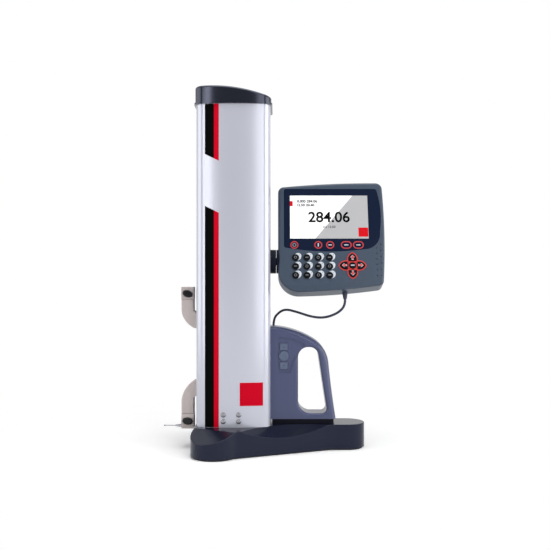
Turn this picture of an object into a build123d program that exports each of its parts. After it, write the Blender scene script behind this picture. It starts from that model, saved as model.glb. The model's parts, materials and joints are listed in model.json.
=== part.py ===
"""Motor-driven height gauge with a tilting console, a carrying handle and a C-shaped probe bracket.

X runs to the right with the handle on +X and the probe on -X, Y runs away from the viewer and Z up.
The origin lies on the ground plane under the middle of the column. All sizes are in millimetres.
"""

from build123d import *
import math
import os

os.makedirs("parts", exist_ok=True)

# Base
base_height = 42.0
casting_foot = 2.5
sole_thickness = 6.0
sole_inset = 3.0
sole_recess_gap = 0.3
lobe_x = -28.0
lobe_y = 74.0
lobe_radius = 38.0
base_left_x = -62.0
neck_radius = 25.0
tail_x = 186.0
tail_radius = 30.0
tail_straight_x = 158.0
wall_start = (-16.3, 102.6)
wall_blend_radius = 60.0
left_blend_radius = 14.0
neck_corner = (4.2, 94.2)
left_corner_y = 55.2
base_rim_radius = 1.2
lobe_low_point = (-38.7, -106.0, 27.6)
lobe_slope_x = 0.224
lobe_slope_y = 0.40
scoop_middle = (85.0, -61.0, 27.0)
scoop_radius = 230.0
scoop_angle = 27.0

# Pockets under the tail
tail_pocket_start_x = 84.0
tail_pocket_length = 104.0
tail_pocket_width = 36.0
tail_pocket_top = 30.0
battery_length = 92.0
battery_width = 33.0
battery_height = 14.0
battery_edge_radius = 1.0
board_thickness = 1.6
control_board_length = 84.0
control_board_width = 32.0
control_board_z = 23.5
chip_height = 2.4
chip_spots = ((112.0, 0.0), (146.0, 3.0))
chip_size = (18.0, 14.0)
spacer_radius = 2.5
spacer_inset = 4.0
pocket_corner_radius = 3.0
seat_gap = 0.3

# Column extrusion
column_width = 120.0
column_depth = 110.0
column_length = 519.0
column_wall = 5.0
face_crown_radius = 250.0
column_corner_radius = 14.0
slot_width = 27.0
web_x = 24.0
web_thickness = 4.0
web_foot_notch = 48.0
web_top_notch = 49.0
screw_port_radius = 5.2
screw_port_bore = 1.7
screw_port_x = 50.0
screw_port_y = 40.5
port_clearance = 1.0

# Screws of the column's foot
foot_screw_x = (-15.4, 9.3)
foot_screw_z = (51.7, 62.3)
button_head_radius = 4.1
button_head_height = 2.4
button_socket_radius = 1.5
button_round_radius = 1.8
hex_sides = 6
foot_screw_radius = 2.5
foot_screw_length = 12.0
spot_face_depth = 1.2
spot_face_radius = 4.5

# Foot block and base screws
foot_plate_thickness = 8.0
foot_plate_left_x = -36.0
foot_plate_right_x = 50.0
foot_plate_room = 12.0
foot_plate_half_y = column_depth / 2 - foot_plate_room
foot_upstand_left_x = -24.0
foot_upstand_right_x = 18.0
foot_upstand_height = 27.0
foot_fit_gap = 0.2
base_bolt_radius = 3.0
base_bolt_head_radius = 5.0
base_bolt_head_height = 6.0
base_bolt_spots = ((-28.0, -22.0), (-28.0, 22.0), (44.0, -30.0), (44.0, 30.0))
base_bolt_bore_gap = 0.2
sole_screw_radius = 2.0
sole_screw_head_radius = 4.0
sole_screw_length = 14.0
sole_screw_spots = ((lobe_x, -lobe_y), (lobe_x, lobe_y), (64.0, -44.0), (64.0, 44.0), (200.0, 0.0))
thread_gap = 0.02

# Belt drive
runner_half_width = 20.0
belt_room_share = 0.4
belt_plane_y = -runner_half_width - belt_room_share * (column_depth / 2 - column_wall - runner_half_width)
belt_width = 10.0
belt_thickness = 1.6
pulley_x = 26.0
drive_pulley_z = 70.0
idler_pulley_z = 533.0
pulley_radius = 13.4
belt_pulley_gap = 0.1
pulley_flange_radius = 16.5
pulley_flange_thickness = 0.8
pulley_width = 12.0
pulley_tooth_count = 28
pulley_tooth_depth = 1.0
running_gap = 0.05
motor_radius = 17.5
motor_length = 45.0
motor_shaft_radius = 3.0
motor_edge_chamfer = 1.0
motor_plate_gap = 2.0
motor_plate_y = belt_plane_y + pulley_width / 2 + motor_plate_gap
motor_plate_thickness = 5.0
web_top_notch_gap = 3.0
web_top_notch_edge_y = motor_plate_y + motor_plate_thickness + web_top_notch_gap
upstand_pulley_gap = 2.0
pulley_outer_y = belt_plane_y - pulley_width / 2
foot_upstand_thickness = column_depth / 2 - column_wall + pulley_outer_y - upstand_pulley_gap
motor_plate_half_width = 21.0
motor_plate_top = 90.0
idler_axle_radius = 4.0
idler_axle_head_radius = 6.0
idler_axle_head_height = 2.0

# Guide rail, runner and scale
rail_half_width = 9.0
rail_depth = 16.0
rail_foot_z = 90.0
rail_top_z = 512.0
rail_groove_radius = 2.0
rail_groove_x = 11.5
rail_screw_pitch = 60.0
rail_screw_count = 7
rail_screw_start = 31.0
rail_screw_head_radius = 4.0
rail_screw_head_height = 4.0
rail_screw_radius = 2.0
runner_left_x = -8.0
runner_reach = 6.0
runner_foot_z = 125.0
runner_length = 60.0
scale_thickness = 2.0
scale_width = 14.0
scale_room_share = 0.4375
scale_room = column_depth / 2 - column_wall - runner_half_width - scale_width
scale_left_y = runner_half_width + scale_room_share * scale_room
scale_foot_z = 92.0
scale_length = 455.0
reading_head_foot_z = 143.0
reading_head_height = 28.0
reading_gap = 0.5

# Carriage
carriage_left_x = -42.0
carriage_half_width = 26.0
carriage_foot_z = 100.0
carriage_height = 110.0
fork_bridge = 4.0
belt_far_y = belt_plane_y - belt_width / 2
wing_half_width = fork_bridge - belt_far_y
wing_foot_z = 138.0
wing_height = 38.0
clamp_foot_z = 147.0
clamp_height = 16.0
clamp_finger_thickness = 4.0
belt_clamp_gap = 0.2
carriage_window_width = 30.0
carriage_window_height = 22.0
carriage_window_end = 17.0
carriage_edge_chamfer = 4.0

# Counterweight
weight_left_x = 30.0
weight_width = 23.0
weight_wall_room = 10.0
weight_half_depth = column_depth / 2 - column_wall - weight_wall_room
weight_top_z = 472.0
weight_length = 50.0
weight_corner_radius = 5.0

# Probe bracket
bracket_outer_x = -87.3
bracket_inner_x = -67.0
bracket_half_thickness = 11.0
bracket_spine_x = -56.0
upper_arm_foot_z = 198.0
upper_arm_step_z = 224.0
upper_arm_curve_z = 227.6
upper_arm_top_z = 246.4
lower_arm_top_z = 111.5
lower_arm_step_z = 86.0
lower_arm_curve_z = 79.0
lower_arm_foot_z = 56.0
step_rise = 3.6
bracket_edge_chamfer = 1.2
arm_root_x = -65.6
upper_arm_bend = (-81.1, 210.7)
lower_arm_bend = (-79.1, 100.0)

# Probe holders, clamp knobs and probe
holder_half_thickness = 13.5
holder_height = 19.6
lower_holder_height = 23.5
holder_bevel = 2.5
lower_bevel_height = 5.5
upper_bevel_height = 3.0
upper_socket_z = 262.5
knob_half_length = 8.6
knob_half_width = 5.9
knob_height = 7.0
knob_dome_radius = 2.6
knob_stem_radius = 2.0
knob_stem_length = 9.0
knob_x = -76.5
upper_knob_z = 255.1
upper_knob_turn = -21.0
lower_knob_z = 45.5
lower_knob_turn = -10.0
knob_seat_gap = 0.2
bore_end_room = 1.0
probe_z = 35.4
probe_bore_radius = 1.5
probe_bore_length = 12.0
probe_flange_radius = 3.1
probe_neck_radius = 1.4
probe_flange_length = 11.0
stylus_radius = 0.75
stylus_length = 17.5
ball_radius = 1.1
flange_bulge = 0.7

# Cap and top plate
cap_overhang = 1.7
cap_lip = 1.6
cap_lip_height = 3.2
cap_top_z = 591.0
cap_top_radius = 300.0
cap_apex_x = -40.0
cap_wall = 3.0
cap_edge_radius = 4.0
cap_post_radius = 4.0
cap_post_x = 44.0
cap_post_y = 32.0
top_plate_thickness = 4.0
top_plate_inset = 1.7

# Handle
handle_half_thickness = 23.0
handle_foot_z = 50.0
handle_root_top_z = 202.0
handle_toe_x = 167.5
handle_crown_point = (100.0, 195.0)
handle_shoulder_point = (132.0, 180.0)
handle_bend_point = (155.5, 142.0)
handle_edge_radius = 8.0
handle_inner_depth = 20.0
handle_inner_inset = 7.0
hand_opening_left_x = 105.4
hand_opening_foot_z = 58.8
hand_opening_top_z = 167.5
hand_opening_top_right_x = 137.0
hand_opening_foot_right_x = 153.3
hand_opening_edge_radius = 4.5
hand_opening_foot_radii = (21.0, 8.0)
hand_opening_top_radii = (17.0, 15.0)
foot_pad_inset = 3.0
foot_pad_nose_radius = 9.0
recess_depth = 2.0
recess_left_x = 72.5
recess_right_x = 93.0
recess_foot_z = 126.0
recess_top_z = 184.0
recess_top_mid = (95.0, 181.5)
recess_top_right = (116.0, 173.5)
recess_mouth_z = 160.0
recess_side = (99.5, 148.0)
recess_side_radius = 10.0
recess_corner_radius = 4.0
key_cavity_left_x = 68.0
key_cavity_right_x = 96.0
key_cavity_foot_z = 122.0
key_cavity_top_z = 188.0
handle_wall = 3.0
handle_key_x = 82.0
handle_key_centres_z = {"up": 168.3, "round": 153.2, "down": 137.2}
handle_key_half_width = 6.4
handle_key_half_height = 5.7
handle_round_key_radius = 8.1
handle_key_proud = 1.6
handle_key_flange = 1.2
handle_key_flange_rise = 0.4
handle_key_flange_thickness = 1.2
handle_key_corner_radius = 1.5
handle_key_round = 0.8
handle_screw_spots = ((82.0, 104.0), (82.0, 70.0), (118.0, 179.0), (159.5, 62.0))
handle_screw_radius = 1.5
handle_screw_head_radius = 3.0
handle_screw_head_height = 2.5
handle_screw_seat_y = 14.0
handle_screw_length = 22.0
handle_screw_boss_radius = 5.0

# Console pivot
hinge_y = -14.0
hinge_z = 308.0
pivot_radius = 19.5
pivot_boss_length = 9.4
tilt_shaft_radius = 6.0
tilt_collar_gap = 0.5
tilt_collar_groove = 1.0
tilt_shaft_start = 2.0
tilt_shaft_length = 33.0
tilt_seat_width = 25.0
tilt_seat_height = 19.0

# Console, in its own plane: x along X, y up the face, z out of the face
console_lean = 18.0
console_face_out = 17.9
console_face_drop = -1.0
console_left_x = 72.7
console_right_x = 246.5
console_top_left_v = 127.5
console_top_mid = (160.0, 134.2)
console_top_right_v = 135.6
console_right_mid = (248.4, 50.0)
console_foot_right = (243.5, -43.5)
console_foot_mid = (150.5, -53.2)
console_foot_left_v = -55.0
console_corner_radii = (10.0, 11.0, 9.0, 34.0)
console_front_depth = 17.9
console_back_depth = 22.0
console_wall = 3.0
console_front_edge_radius = 5.0
console_back_edge_radius = 9.0
chin_left = (106.0, -45.5)
chin_right = (238.5, -37.0)
chin_fall = 14.0
glass_left_x = 82.3
glass_top_v = 123.5
glass_right_x = 236.5
glass_right_mid = (242.6, 84.0)
glass_right_low = (240.4, 48.0)
glass_foot_right = (213.0, 16.6)
glass_foot_mid = (151.0, 12.7)
glass_foot_left_v = 19.9
glass_corner_radius = 4.0
glass_low_corner_radius = 27.0
glass_thickness = 1.5
glass_gap = 0.1
glass_bed = 1.7
screen_left_x = 92.3
screen_right_x = 221.5
screen_foot_v = 35.1
screen_top_v = 111.5
window_margin = 1.0
display_margin = 4.0
display_thickness = 5.0
keypad_x = (100.9, 119.3, 137.7, 156.1)
keypad_v = (2.0, -13.15, -28.3)
key_radius = 5.5
key_proud = 2.2
key_depth = 6.8
key_gap = 0.3
key_flange = 1.0
key_flange_thickness = 1.2
key_flange_drop = 0.2
key_round = 0.9
arrow_centre = (193.6, -11.6)
arrow_inner = 8.0
arrow_inner_half_width = 6.4
arrow_mid = (15.0, 5.9)
arrow_tip = 20.8
arrow_corner_radius = 1.8
arrow_flange = 0.7
centre_key_radius = 5.4
board_left_x = 82.0
board_right_x = 238.0
board_foot_v = -38.0
board_top_v = 14.0
board_front = 8.2
board_boss_spots = ((87.0, -33.0), (87.0, 9.0), (226.0, -33.0), (226.0, 9.0))
board_boss_radius = 3.0
sounder_hole_radius = 0.9
sounder_foot_v = -28.5
sounder_columns = ((240.5, 6, 10.7), (233.5, 6, 9.5))

# Console cable
cable_radius = 2.0
sleeve_root_radius = 4.2
sleeve_tip_radius = 2.9
sleeve_root_v = -47.0
sleeve_collar_length = 6.0
sleeve_cone_length = 8.0
sleeve_flange_radius = 5.4
sleeve_flange_thickness = 1.2
sleeve_x = 182.0
sleeve_face_depth = 24.0
cable_first_run = 9.0
elbow_x = 65.0
elbow_y = 29.0
elbow_z = 188.0
elbow_radius = 4.6
elbow_top_z = 198.5
cable_way = (
    (175.5, -30.5, 228.5),
    (163.0, -27.0, 220.5),
    (146.0, -20.0, 215.5),
    (127.0, -9.0, 217.0),
    (105.0, 3.0, 224.0),
    (86.0, 12.0, 228.5),
    (75.0, 21.0, 223.5),
    (65.0, 29.0, 211.5),
)
bend_share = 0.45

column_top_z = base_height + column_length
belt_inner_radius = pulley_radius + belt_pulley_gap
belt_outer_radius = belt_inner_radius + belt_thickness
lean = math.radians(console_lean)
face_normal = (0.0, -math.cos(lean), math.sin(lean))
face_up = (0.0, math.sin(lean), math.cos(lean))
console_plane = Plane(
    origin=(
        0.0,
        hinge_y + console_face_out * face_normal[1] + console_face_drop * face_up[1],
        hinge_z + console_face_out * face_normal[2] + console_face_drop * face_up[2],
    ),
    x_dir=(1, 0, 0),
    z_dir=face_normal,
)
face_axis = Axis((0, 0, 0), face_normal)


def crowned_outline(inset):
    """Section of the column: crowned front and back faces, flat sides, rounded corners."""
    half_width = column_width / 2 - inset
    crown_radius = face_crown_radius - inset
    middle_y = column_depth / 2 - inset
    corner_y = middle_y - crown_radius + math.sqrt(crown_radius**2 - half_width**2)
    with BuildSketch() as outline:
        with BuildLine():
            ThreePointArc((-half_width, -corner_y), (0, -middle_y), (half_width, -corner_y))
            Line((half_width, -corner_y), (half_width, corner_y))
            ThreePointArc((half_width, corner_y), (0, middle_y), (-half_width, corner_y))
            Line((-half_width, corner_y), (-half_width, -corner_y))
        make_face()
        fillet(outline.vertices(), column_corner_radius - inset)
    return outline.sketch


def base_outline(inset):
    """Plan of the base: two lobes under the column and a tail that narrows to a round end."""
    lobe_join = (base_left_x, -lobe_y)
    tail_join = (tail_straight_x, -tail_radius)
    tail_end = (tail_x, -tail_radius)
    with BuildSketch() as outline:
        with BuildLine():
            half = Polyline(
                (base_left_x, 0),
                lobe_join,
                (wall_start[0], -wall_start[1]),
                tail_join,
                tail_end,
                (tail_x, 0),
            )
            Line(half @ 1, half @ 0)
        make_face()
        with Locations((lobe_x, -lobe_y)):
            Circle(lobe_radius)
        mirror(about=Plane.XZ)
        with Locations((tail_x, 0)):
            Circle(tail_radius)
        for side in (-1, 1):
            neck = outline.vertices().sort_by_distance((neck_corner[0], side * neck_corner[1]))[0]
            fillet(neck, neck_radius)
            wall_bend = outline.vertices().sort_by_distance((tail_straight_x, side * tail_radius))[0]
            fillet(wall_bend, wall_blend_radius)
            left_bend = outline.vertices().sort_by_distance((base_left_x, side * left_corner_y))[0]
            fillet(left_bend, left_blend_radius)
        if inset:
            offset(amount=-inset)
    return outline.sketch


def console_outline(inset):
    """Outline of the console in its own plane, with one large corner at the lower left."""
    top_left = (console_left_x, console_top_left_v)
    top_right = (console_right_x, console_top_right_v)
    foot_left = (console_left_x, console_foot_left_v)
    sides = (
        Edge.make_three_point_arc(top_left, console_top_mid, top_right),
        Edge.make_three_point_arc(top_right, console_right_mid, console_foot_right),
        Edge.make_three_point_arc(console_foot_right, console_foot_mid, foot_left),
    )
    with BuildSketch() as outline:
        with Locations((console_left_x + inset, 0)):
            Rectangle(2 * console_right_x, 2 * console_right_x, align=(Align.MIN, Align.CENTER))
        for side in sides:
            with Locations(side.arc_center):
                Circle(side.radius - inset, mode=Mode.INTERSECT)
        corners = (top_left, top_right, console_foot_right, foot_left)
        for corner, radius in zip(corners, console_corner_radii):
            fillet(outline.vertices().sort_by_distance(corner)[0], radius - inset)
    return outline.sketch


def glass_outline(inset):
    """Outline of the dark glass panel, with a bowed right side and a curved lower edge."""
    top_right = (glass_right_x, glass_top_v)
    foot_left = (glass_left_x, glass_foot_left_v)
    top_left = (glass_left_x, glass_top_v)
    with BuildSketch() as outline:
        with BuildLine():
            Line(top_left, top_right)
            ThreePointArc(top_right, glass_right_mid, glass_right_low)
            Line(glass_right_low, (glass_right_low[0], glass_foot_right[1]))
            Line((glass_right_low[0], glass_foot_right[1]), glass_foot_right)
            ThreePointArc(glass_foot_right, glass_foot_mid, foot_left)
            Line(foot_left, top_left)
        make_face()
        low_corner = (glass_right_low[0], glass_foot_right[1])
        fillet(outline.vertices().sort_by_distance(low_corner)[0], glass_low_corner_radius)
        for corner in (top_left, top_right, foot_left):
            fillet(outline.vertices().sort_by_distance(corner)[0], glass_corner_radius)
        if inset:
            offset(amount=-inset)
    return outline.sketch


def arrow_outline(inset):
    """Outline of one arrow key that points along x, seen from its inner side at the pad's centre."""
    with BuildSketch() as outline:
        with BuildLine():
            ThreePointArc((arrow_inner, arrow_inner_half_width), arrow_mid, (arrow_tip, 0))
            ThreePointArc(
                (arrow_tip, 0), (arrow_mid[0], -arrow_mid[1]), (arrow_inner, -arrow_inner_half_width)
            )
            Line((arrow_inner, -arrow_inner_half_width), (arrow_inner, arrow_inner_half_width))
        make_face()
        fillet(outline.vertices(), arrow_corner_radius)
        if inset:
            offset(amount=-inset)
    return outline.sketch


column_outer = crowned_outline(0)
column_inner = crowned_outline(column_wall)
base_plan = base_outline(0)
sole_plan = base_outline(sole_inset)
sole_recess_plan = base_outline(sole_inset - sole_recess_gap)
column_middle_y = column_depth / 2
screw_ports = [(x * screw_port_x, y * screw_port_y) for x in (-1, 1) for y in (-1, 1)]

with BuildSketch() as column_room:
    add(crowned_outline(column_wall + foot_fit_gap))
    with Locations(*screw_ports):
        Circle(screw_port_radius + foot_fit_gap, mode=Mode.SUBTRACT)

# Base casting
lobe_cut_plane = Plane(origin=lobe_low_point, z_dir=(-lobe_slope_x, -lobe_slope_y, 1))
wall_angle = math.atan2(wall_start[1] - tail_radius, tail_straight_x - wall_start[0])
wall_along = (math.cos(wall_angle), math.sin(wall_angle), 0)
scoop_rise = math.radians(scoop_angle)
scoop_axis = (
    -wall_along[1] * math.cos(scoop_rise),
    wall_along[0] * math.cos(scoop_rise),
    math.sin(scoop_rise),
)
scoop_plane = Plane(origin=scoop_middle, x_dir=wall_along, z_dir=scoop_axis)
bolt_head_top_z = sole_thickness + base_bolt_head_height + foot_fit_gap
base_wire = base_plan.faces()[0].outer_wire()

with BuildPart() as base_casting:
    with BuildSketch(Plane.XY.offset(casting_foot)):
        add(base_plan)
    extrude(amount=base_height - casting_foot)
    with BuildSketch(lobe_cut_plane):
        Rectangle(2 * column_depth, 2 * column_depth)
    extrude(amount=base_height, mode=Mode.SUBTRACT)
    with BuildSketch(scoop_plane):
        with Locations((0, -scoop_radius)):
            Circle(scoop_radius)
    extrude(amount=lobe_y, both=True, mode=Mode.SUBTRACT)
    split(bisect_by=Plane.XZ, keep=Keep.TOP)
    rim = []
    for edge in base_casting.edges().filter_by(Axis.Z, reverse=True):
        middle = edge @ 0.5
        off_outline = base_wire.distance_to(Vertex(middle.X, middle.Y, 0))
        if off_outline < seat_gap and middle.Z > base_height / 2:
            rim.append(edge)
    fillet(rim, base_rim_radius)
    mirror(about=Plane.XZ)
    with BuildSketch(Plane.XY.offset(casting_foot)):
        add(sole_recess_plan)
    extrude(amount=sole_thickness - casting_foot, mode=Mode.SUBTRACT)
    with BuildSketch(Plane.XY.offset(sole_thickness)):
        with Locations((tail_pocket_start_x + tail_pocket_length / 2, 0)):
            RectangleRounded(tail_pocket_length, tail_pocket_width, pocket_corner_radius)
    extrude(amount=tail_pocket_top - sole_thickness, mode=Mode.SUBTRACT)
    with BuildSketch(Plane.XY.offset(sole_thickness)):
        with Locations(*base_bolt_spots):
            Circle(base_bolt_head_radius + base_bolt_bore_gap)
    extrude(amount=bolt_head_top_z - sole_thickness, mode=Mode.SUBTRACT)
    with BuildSketch(Plane.XY.offset(sole_thickness)):
        with Locations(*base_bolt_spots):
            Circle(base_bolt_radius + base_bolt_bore_gap)
    extrude(amount=base_height, mode=Mode.SUBTRACT)
    with BuildSketch(Plane.XY.offset(sole_thickness)):
        with Locations(*sole_screw_spots):
            Circle(sole_screw_radius + thread_gap)
    extrude(amount=sole_screw_length - sole_thickness + foot_fit_gap, mode=Mode.SUBTRACT)
base_casting.part.label = "base_casting"
export_step(base_casting.part, "parts/base_casting.step")

# Sole plate, set into the casting's foot
with BuildPart() as sole_plate:
    with BuildSketch():
        add(sole_plan)
    extrude(amount=sole_thickness)
    with Locations(*[Plane(origin=(x, y, 0), z_dir=(0, 0, -1)) for x, y in sole_screw_spots]):
        CounterSinkHole(
            radius=sole_screw_radius + foot_fit_gap,
            counter_sink_radius=sole_screw_head_radius + foot_fit_gap,
            depth=sole_thickness,
            counter_sink_angle=90,
        )
sole_plate.part.label = "sole_plate"
export_step(sole_plate.part, "parts/sole_plate.step")

# Bolts that hold the foot block, and countersunk screws that hold the sole plate
sole_screw_sink = foot_fit_gap
sole_screw_cone = sole_screw_head_radius - sole_screw_radius
with BuildPart() as base_screws:
    with BuildSketch(Plane.XY.offset(bolt_head_top_z - base_bolt_head_height)):
        with Locations(*base_bolt_spots):
            Circle(base_bolt_head_radius)
    extrude(amount=base_bolt_head_height)
    with BuildSketch(Plane.XY.offset(bolt_head_top_z - base_bolt_head_height)):
        with Locations(*base_bolt_spots):
            RegularPolygon(base_bolt_radius - foot_fit_gap, hex_sides)
    extrude(amount=base_bolt_head_height / 2, mode=Mode.SUBTRACT)
    with BuildSketch(Plane.XY.offset(bolt_head_top_z)):
        with Locations(*base_bolt_spots):
            Circle(base_bolt_radius)
    extrude(amount=base_height + foot_plate_thickness - foot_fit_gap - bolt_head_top_z)
    with Locations(*[(x, y, sole_screw_sink) for x, y in sole_screw_spots]):
        Cone(
            sole_screw_head_radius,
            sole_screw_radius,
            sole_screw_cone,
            align=(Align.CENTER, Align.CENTER, Align.MIN),
        )
    with Locations(*[(x, y, sole_screw_sink + sole_screw_cone) for x, y in sole_screw_spots]):
        Cylinder(
            sole_screw_radius,
            sole_screw_length - sole_screw_sink - sole_screw_cone,
            align=(Align.CENTER, Align.CENTER, Align.MIN),
        )
base_screws.part.label = "base_screws"
export_step(base_screws.part, "parts/base_screws.step")

# Battery pack in the tail
with BuildPart() as battery_pack:
    with BuildSketch(Plane.XY.offset(sole_thickness)):
        with Locations((tail_pocket_start_x + tail_pocket_length / 2, 0)):
            RectangleRounded(battery_length, battery_width, pocket_corner_radius / 2)
    extrude(amount=battery_height)
    fillet(battery_pack.edges().filter_by(Plane.XY).group_by(Axis.Z)[-1], battery_edge_radius)
battery_pack.part.label = "battery_pack"
export_step(battery_pack.part, "parts/battery_pack.step")

# Control board, hung from the pocket's ceiling on four spacers
pocket_middle_x = tail_pocket_start_x + tail_pocket_length / 2
control_board_top_z = control_board_z + board_thickness
with BuildPart() as control_board:
    with BuildSketch(Plane.XY.offset(control_board_z)):
        with Locations((pocket_middle_x, 0)):
            Rectangle(control_board_length, control_board_width)
    extrude(amount=board_thickness)
    with BuildSketch(Plane.XY.offset(control_board_top_z)):
        with Locations((pocket_middle_x, 0)):
            with GridLocations(
                control_board_length - 2 * spacer_inset, control_board_width - 2 * spacer_inset, 2, 2
            ):
                Circle(spacer_radius)
    extrude(amount=tail_pocket_top - control_board_top_z)
    with BuildSketch(Plane.XY.offset(control_board_top_z)):
        with Locations(*chip_spots):
            Rectangle(*chip_size)
    extrude(amount=chip_height)
control_board.part.label = "control_board"
export_step(control_board.part, "parts/control_board.step")

# Column extrusion with its inner web, side slot and corner screw ports
rail_x = web_x - rail_depth
spot_face_y = column_middle_y - spot_face_depth
foot_screw_spots = [(x, z) for x in foot_screw_x for z in foot_screw_z]
rail_screw_z = [rail_foot_z + rail_screw_start + i * rail_screw_pitch for i in range(rail_screw_count)]
with BuildPart() as column_shell:
    with BuildSketch(Plane.XY.offset(base_height)):
        add(column_outer)
        add(column_inner, mode=Mode.SUBTRACT)
        with Locations((web_x + web_thickness / 2, 0)):
            Rectangle(web_thickness, column_depth - column_wall)
        with Locations(*screw_ports):
            Circle(screw_port_radius)
        with Locations((-column_width / 2, 0)):
            Rectangle(slot_width, slot_width, mode=Mode.SUBTRACT)
        with Locations(*screw_ports):
            Circle(screw_port_bore, mode=Mode.SUBTRACT)
    extrude(amount=column_length)
    with BuildSketch(Plane.XY.offset(base_height)):
        with Locations((web_x + web_thickness / 2, 0)):
            Rectangle(2 * web_thickness, column_depth)
        add(column_inner, mode=Mode.INTERSECT)
    extrude(amount=web_foot_notch, mode=Mode.SUBTRACT)
    with BuildSketch(Plane.XY.offset(column_top_z)):
        with Locations((web_x + web_thickness / 2, web_top_notch_edge_y)):
            Rectangle(2 * web_thickness, column_depth, align=(Align.CENTER, Align.MAX))
        add(column_inner, mode=Mode.INTERSECT)
    extrude(amount=-web_top_notch, mode=Mode.SUBTRACT)
    for side in (-1, 1):
        with BuildSketch(Plane.XZ.offset(-side * spot_face_y)):
            with Locations(*foot_screw_spots):
                Circle(spot_face_radius)
        extrude(amount=-side * 2 * spot_face_depth, mode=Mode.SUBTRACT)
    with BuildSketch(Plane.XZ):
        with Locations(*foot_screw_spots):
            Circle(foot_screw_radius + foot_fit_gap)
    extrude(amount=column_depth, both=True, mode=Mode.SUBTRACT)
    with BuildSketch(Plane.YZ.offset(web_x)):
        with Locations(*[(0, z) for z in rail_screw_z]):
            Circle(rail_screw_radius + thread_gap)
    extrude(amount=web_thickness, mode=Mode.SUBTRACT)
column_shell.part.label = "column_shell"
export_step(column_shell.part, "parts/column_shell.step")

# Button-head screws at the foot of the column, front and back, and the screws of the guide rail
with BuildPart() as column_screws:
    with BuildSketch(Plane.XZ.offset(spot_face_y)):
        with Locations(*foot_screw_spots):
            Circle(button_head_radius)
    extrude(amount=button_head_height)
    fillet(column_screws.edges().group_by(Axis.Y)[0], button_round_radius)
    with BuildSketch(Plane.XZ.offset(spot_face_y + button_head_height)):
        with Locations(*foot_screw_spots):
            RegularPolygon(button_socket_radius, hex_sides)
    extrude(amount=-button_head_height / 2, mode=Mode.SUBTRACT)
    with BuildSketch(Plane.XZ.offset(spot_face_y)):
        with Locations(*foot_screw_spots):
            Circle(foot_screw_radius)
    extrude(amount=-foot_screw_length)
    mirror(about=Plane.XZ)
    with BuildSketch(Plane.YZ.offset(rail_x + rail_screw_head_height)):
        with Locations(*[(0, z) for z in rail_screw_z]):
            Circle(rail_screw_head_radius - foot_fit_gap)
    extrude(amount=-rail_screw_head_height)
    with BuildSketch(Plane.YZ.offset(rail_x)):
        with Locations(*[(0, z) for z in rail_screw_z]):
            RegularPolygon(button_socket_radius, hex_sides)
    extrude(amount=rail_screw_head_height / 2, mode=Mode.SUBTRACT)
    with BuildSketch(Plane.YZ.offset(rail_x + rail_screw_head_height)):
        with Locations(*[(0, z) for z in rail_screw_z]):
            Circle(rail_screw_radius)
    extrude(amount=rail_depth - rail_screw_head_height + web_thickness - foot_fit_gap)
column_screws.part.label = "column_screws"
export_step(column_screws.part, "parts/column_screws.step")

# Foot block that ties the column to the base and carries the motor
foot_plate_top_z = base_height + foot_plate_thickness
foot_upstand_middle_x = (foot_upstand_left_x + foot_upstand_right_x) / 2
with BuildPart() as foot_block:
    with BuildSketch(Plane.XY.offset(base_height)):
        with Locations(((foot_plate_left_x + foot_plate_right_x) / 2, 0)):
            Rectangle(foot_plate_right_x - foot_plate_left_x, 2 * foot_plate_half_y)
        add(column_room.sketch, mode=Mode.INTERSECT)
    extrude(amount=foot_plate_thickness)
    with BuildSketch(Plane.XY.offset(base_height)):
        for side in (-1, 1):
            with Locations((foot_upstand_middle_x, side * column_middle_y)):
                Rectangle(
                    foot_upstand_right_x - foot_upstand_left_x,
                    2 * (foot_upstand_thickness + column_wall),
                )
        add(column_room.sketch, mode=Mode.INTERSECT)
    extrude(amount=foot_upstand_height)
    with BuildSketch(Plane.XZ.offset(-motor_plate_y)):
        with Locations((pulley_x, foot_plate_top_z)):
            Rectangle(
                2 * motor_plate_half_width,
                motor_plate_top - foot_plate_top_z,
                align=(Align.CENTER, Align.MIN),
            )
        with Locations((pulley_x, drive_pulley_z)):
            Circle(motor_shaft_radius + foot_fit_gap, mode=Mode.SUBTRACT)
    extrude(amount=-motor_plate_thickness)
    with BuildSketch(Plane.XZ):
        with Locations(*foot_screw_spots):
            Circle(foot_screw_radius + thread_gap)
    extrude(amount=column_depth, both=True, mode=Mode.SUBTRACT)
    with BuildSketch(Plane.XY.offset(base_height)):
        with Locations(*base_bolt_spots):
            Circle(base_bolt_radius + thread_gap)
    extrude(amount=foot_plate_thickness, mode=Mode.SUBTRACT)
foot_block.part.label = "foot_block"
export_step(foot_block.part, "parts/foot_block.step")

# Drive motor behind its plate, with the shaft through it
motor_front_y = motor_plate_y + motor_plate_thickness
with BuildPart() as drive_motor:
    with BuildSketch(Plane.XZ.offset(-motor_front_y)):
        with Locations((pulley_x, drive_pulley_z)):
            Circle(motor_radius)
    extrude(amount=-motor_length)
    chamfer(drive_motor.edges().filter_by(GeomType.CIRCLE), motor_edge_chamfer)
    with BuildSketch(Plane.XZ.offset(-motor_front_y)):
        with Locations((pulley_x, drive_pulley_z)):
            Circle(motor_shaft_radius)
    extrude(amount=motor_front_y - pulley_outer_y)
drive_motor.part.label = "drive_motor"
export_step(drive_motor.part, "parts/drive_motor.step")

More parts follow.
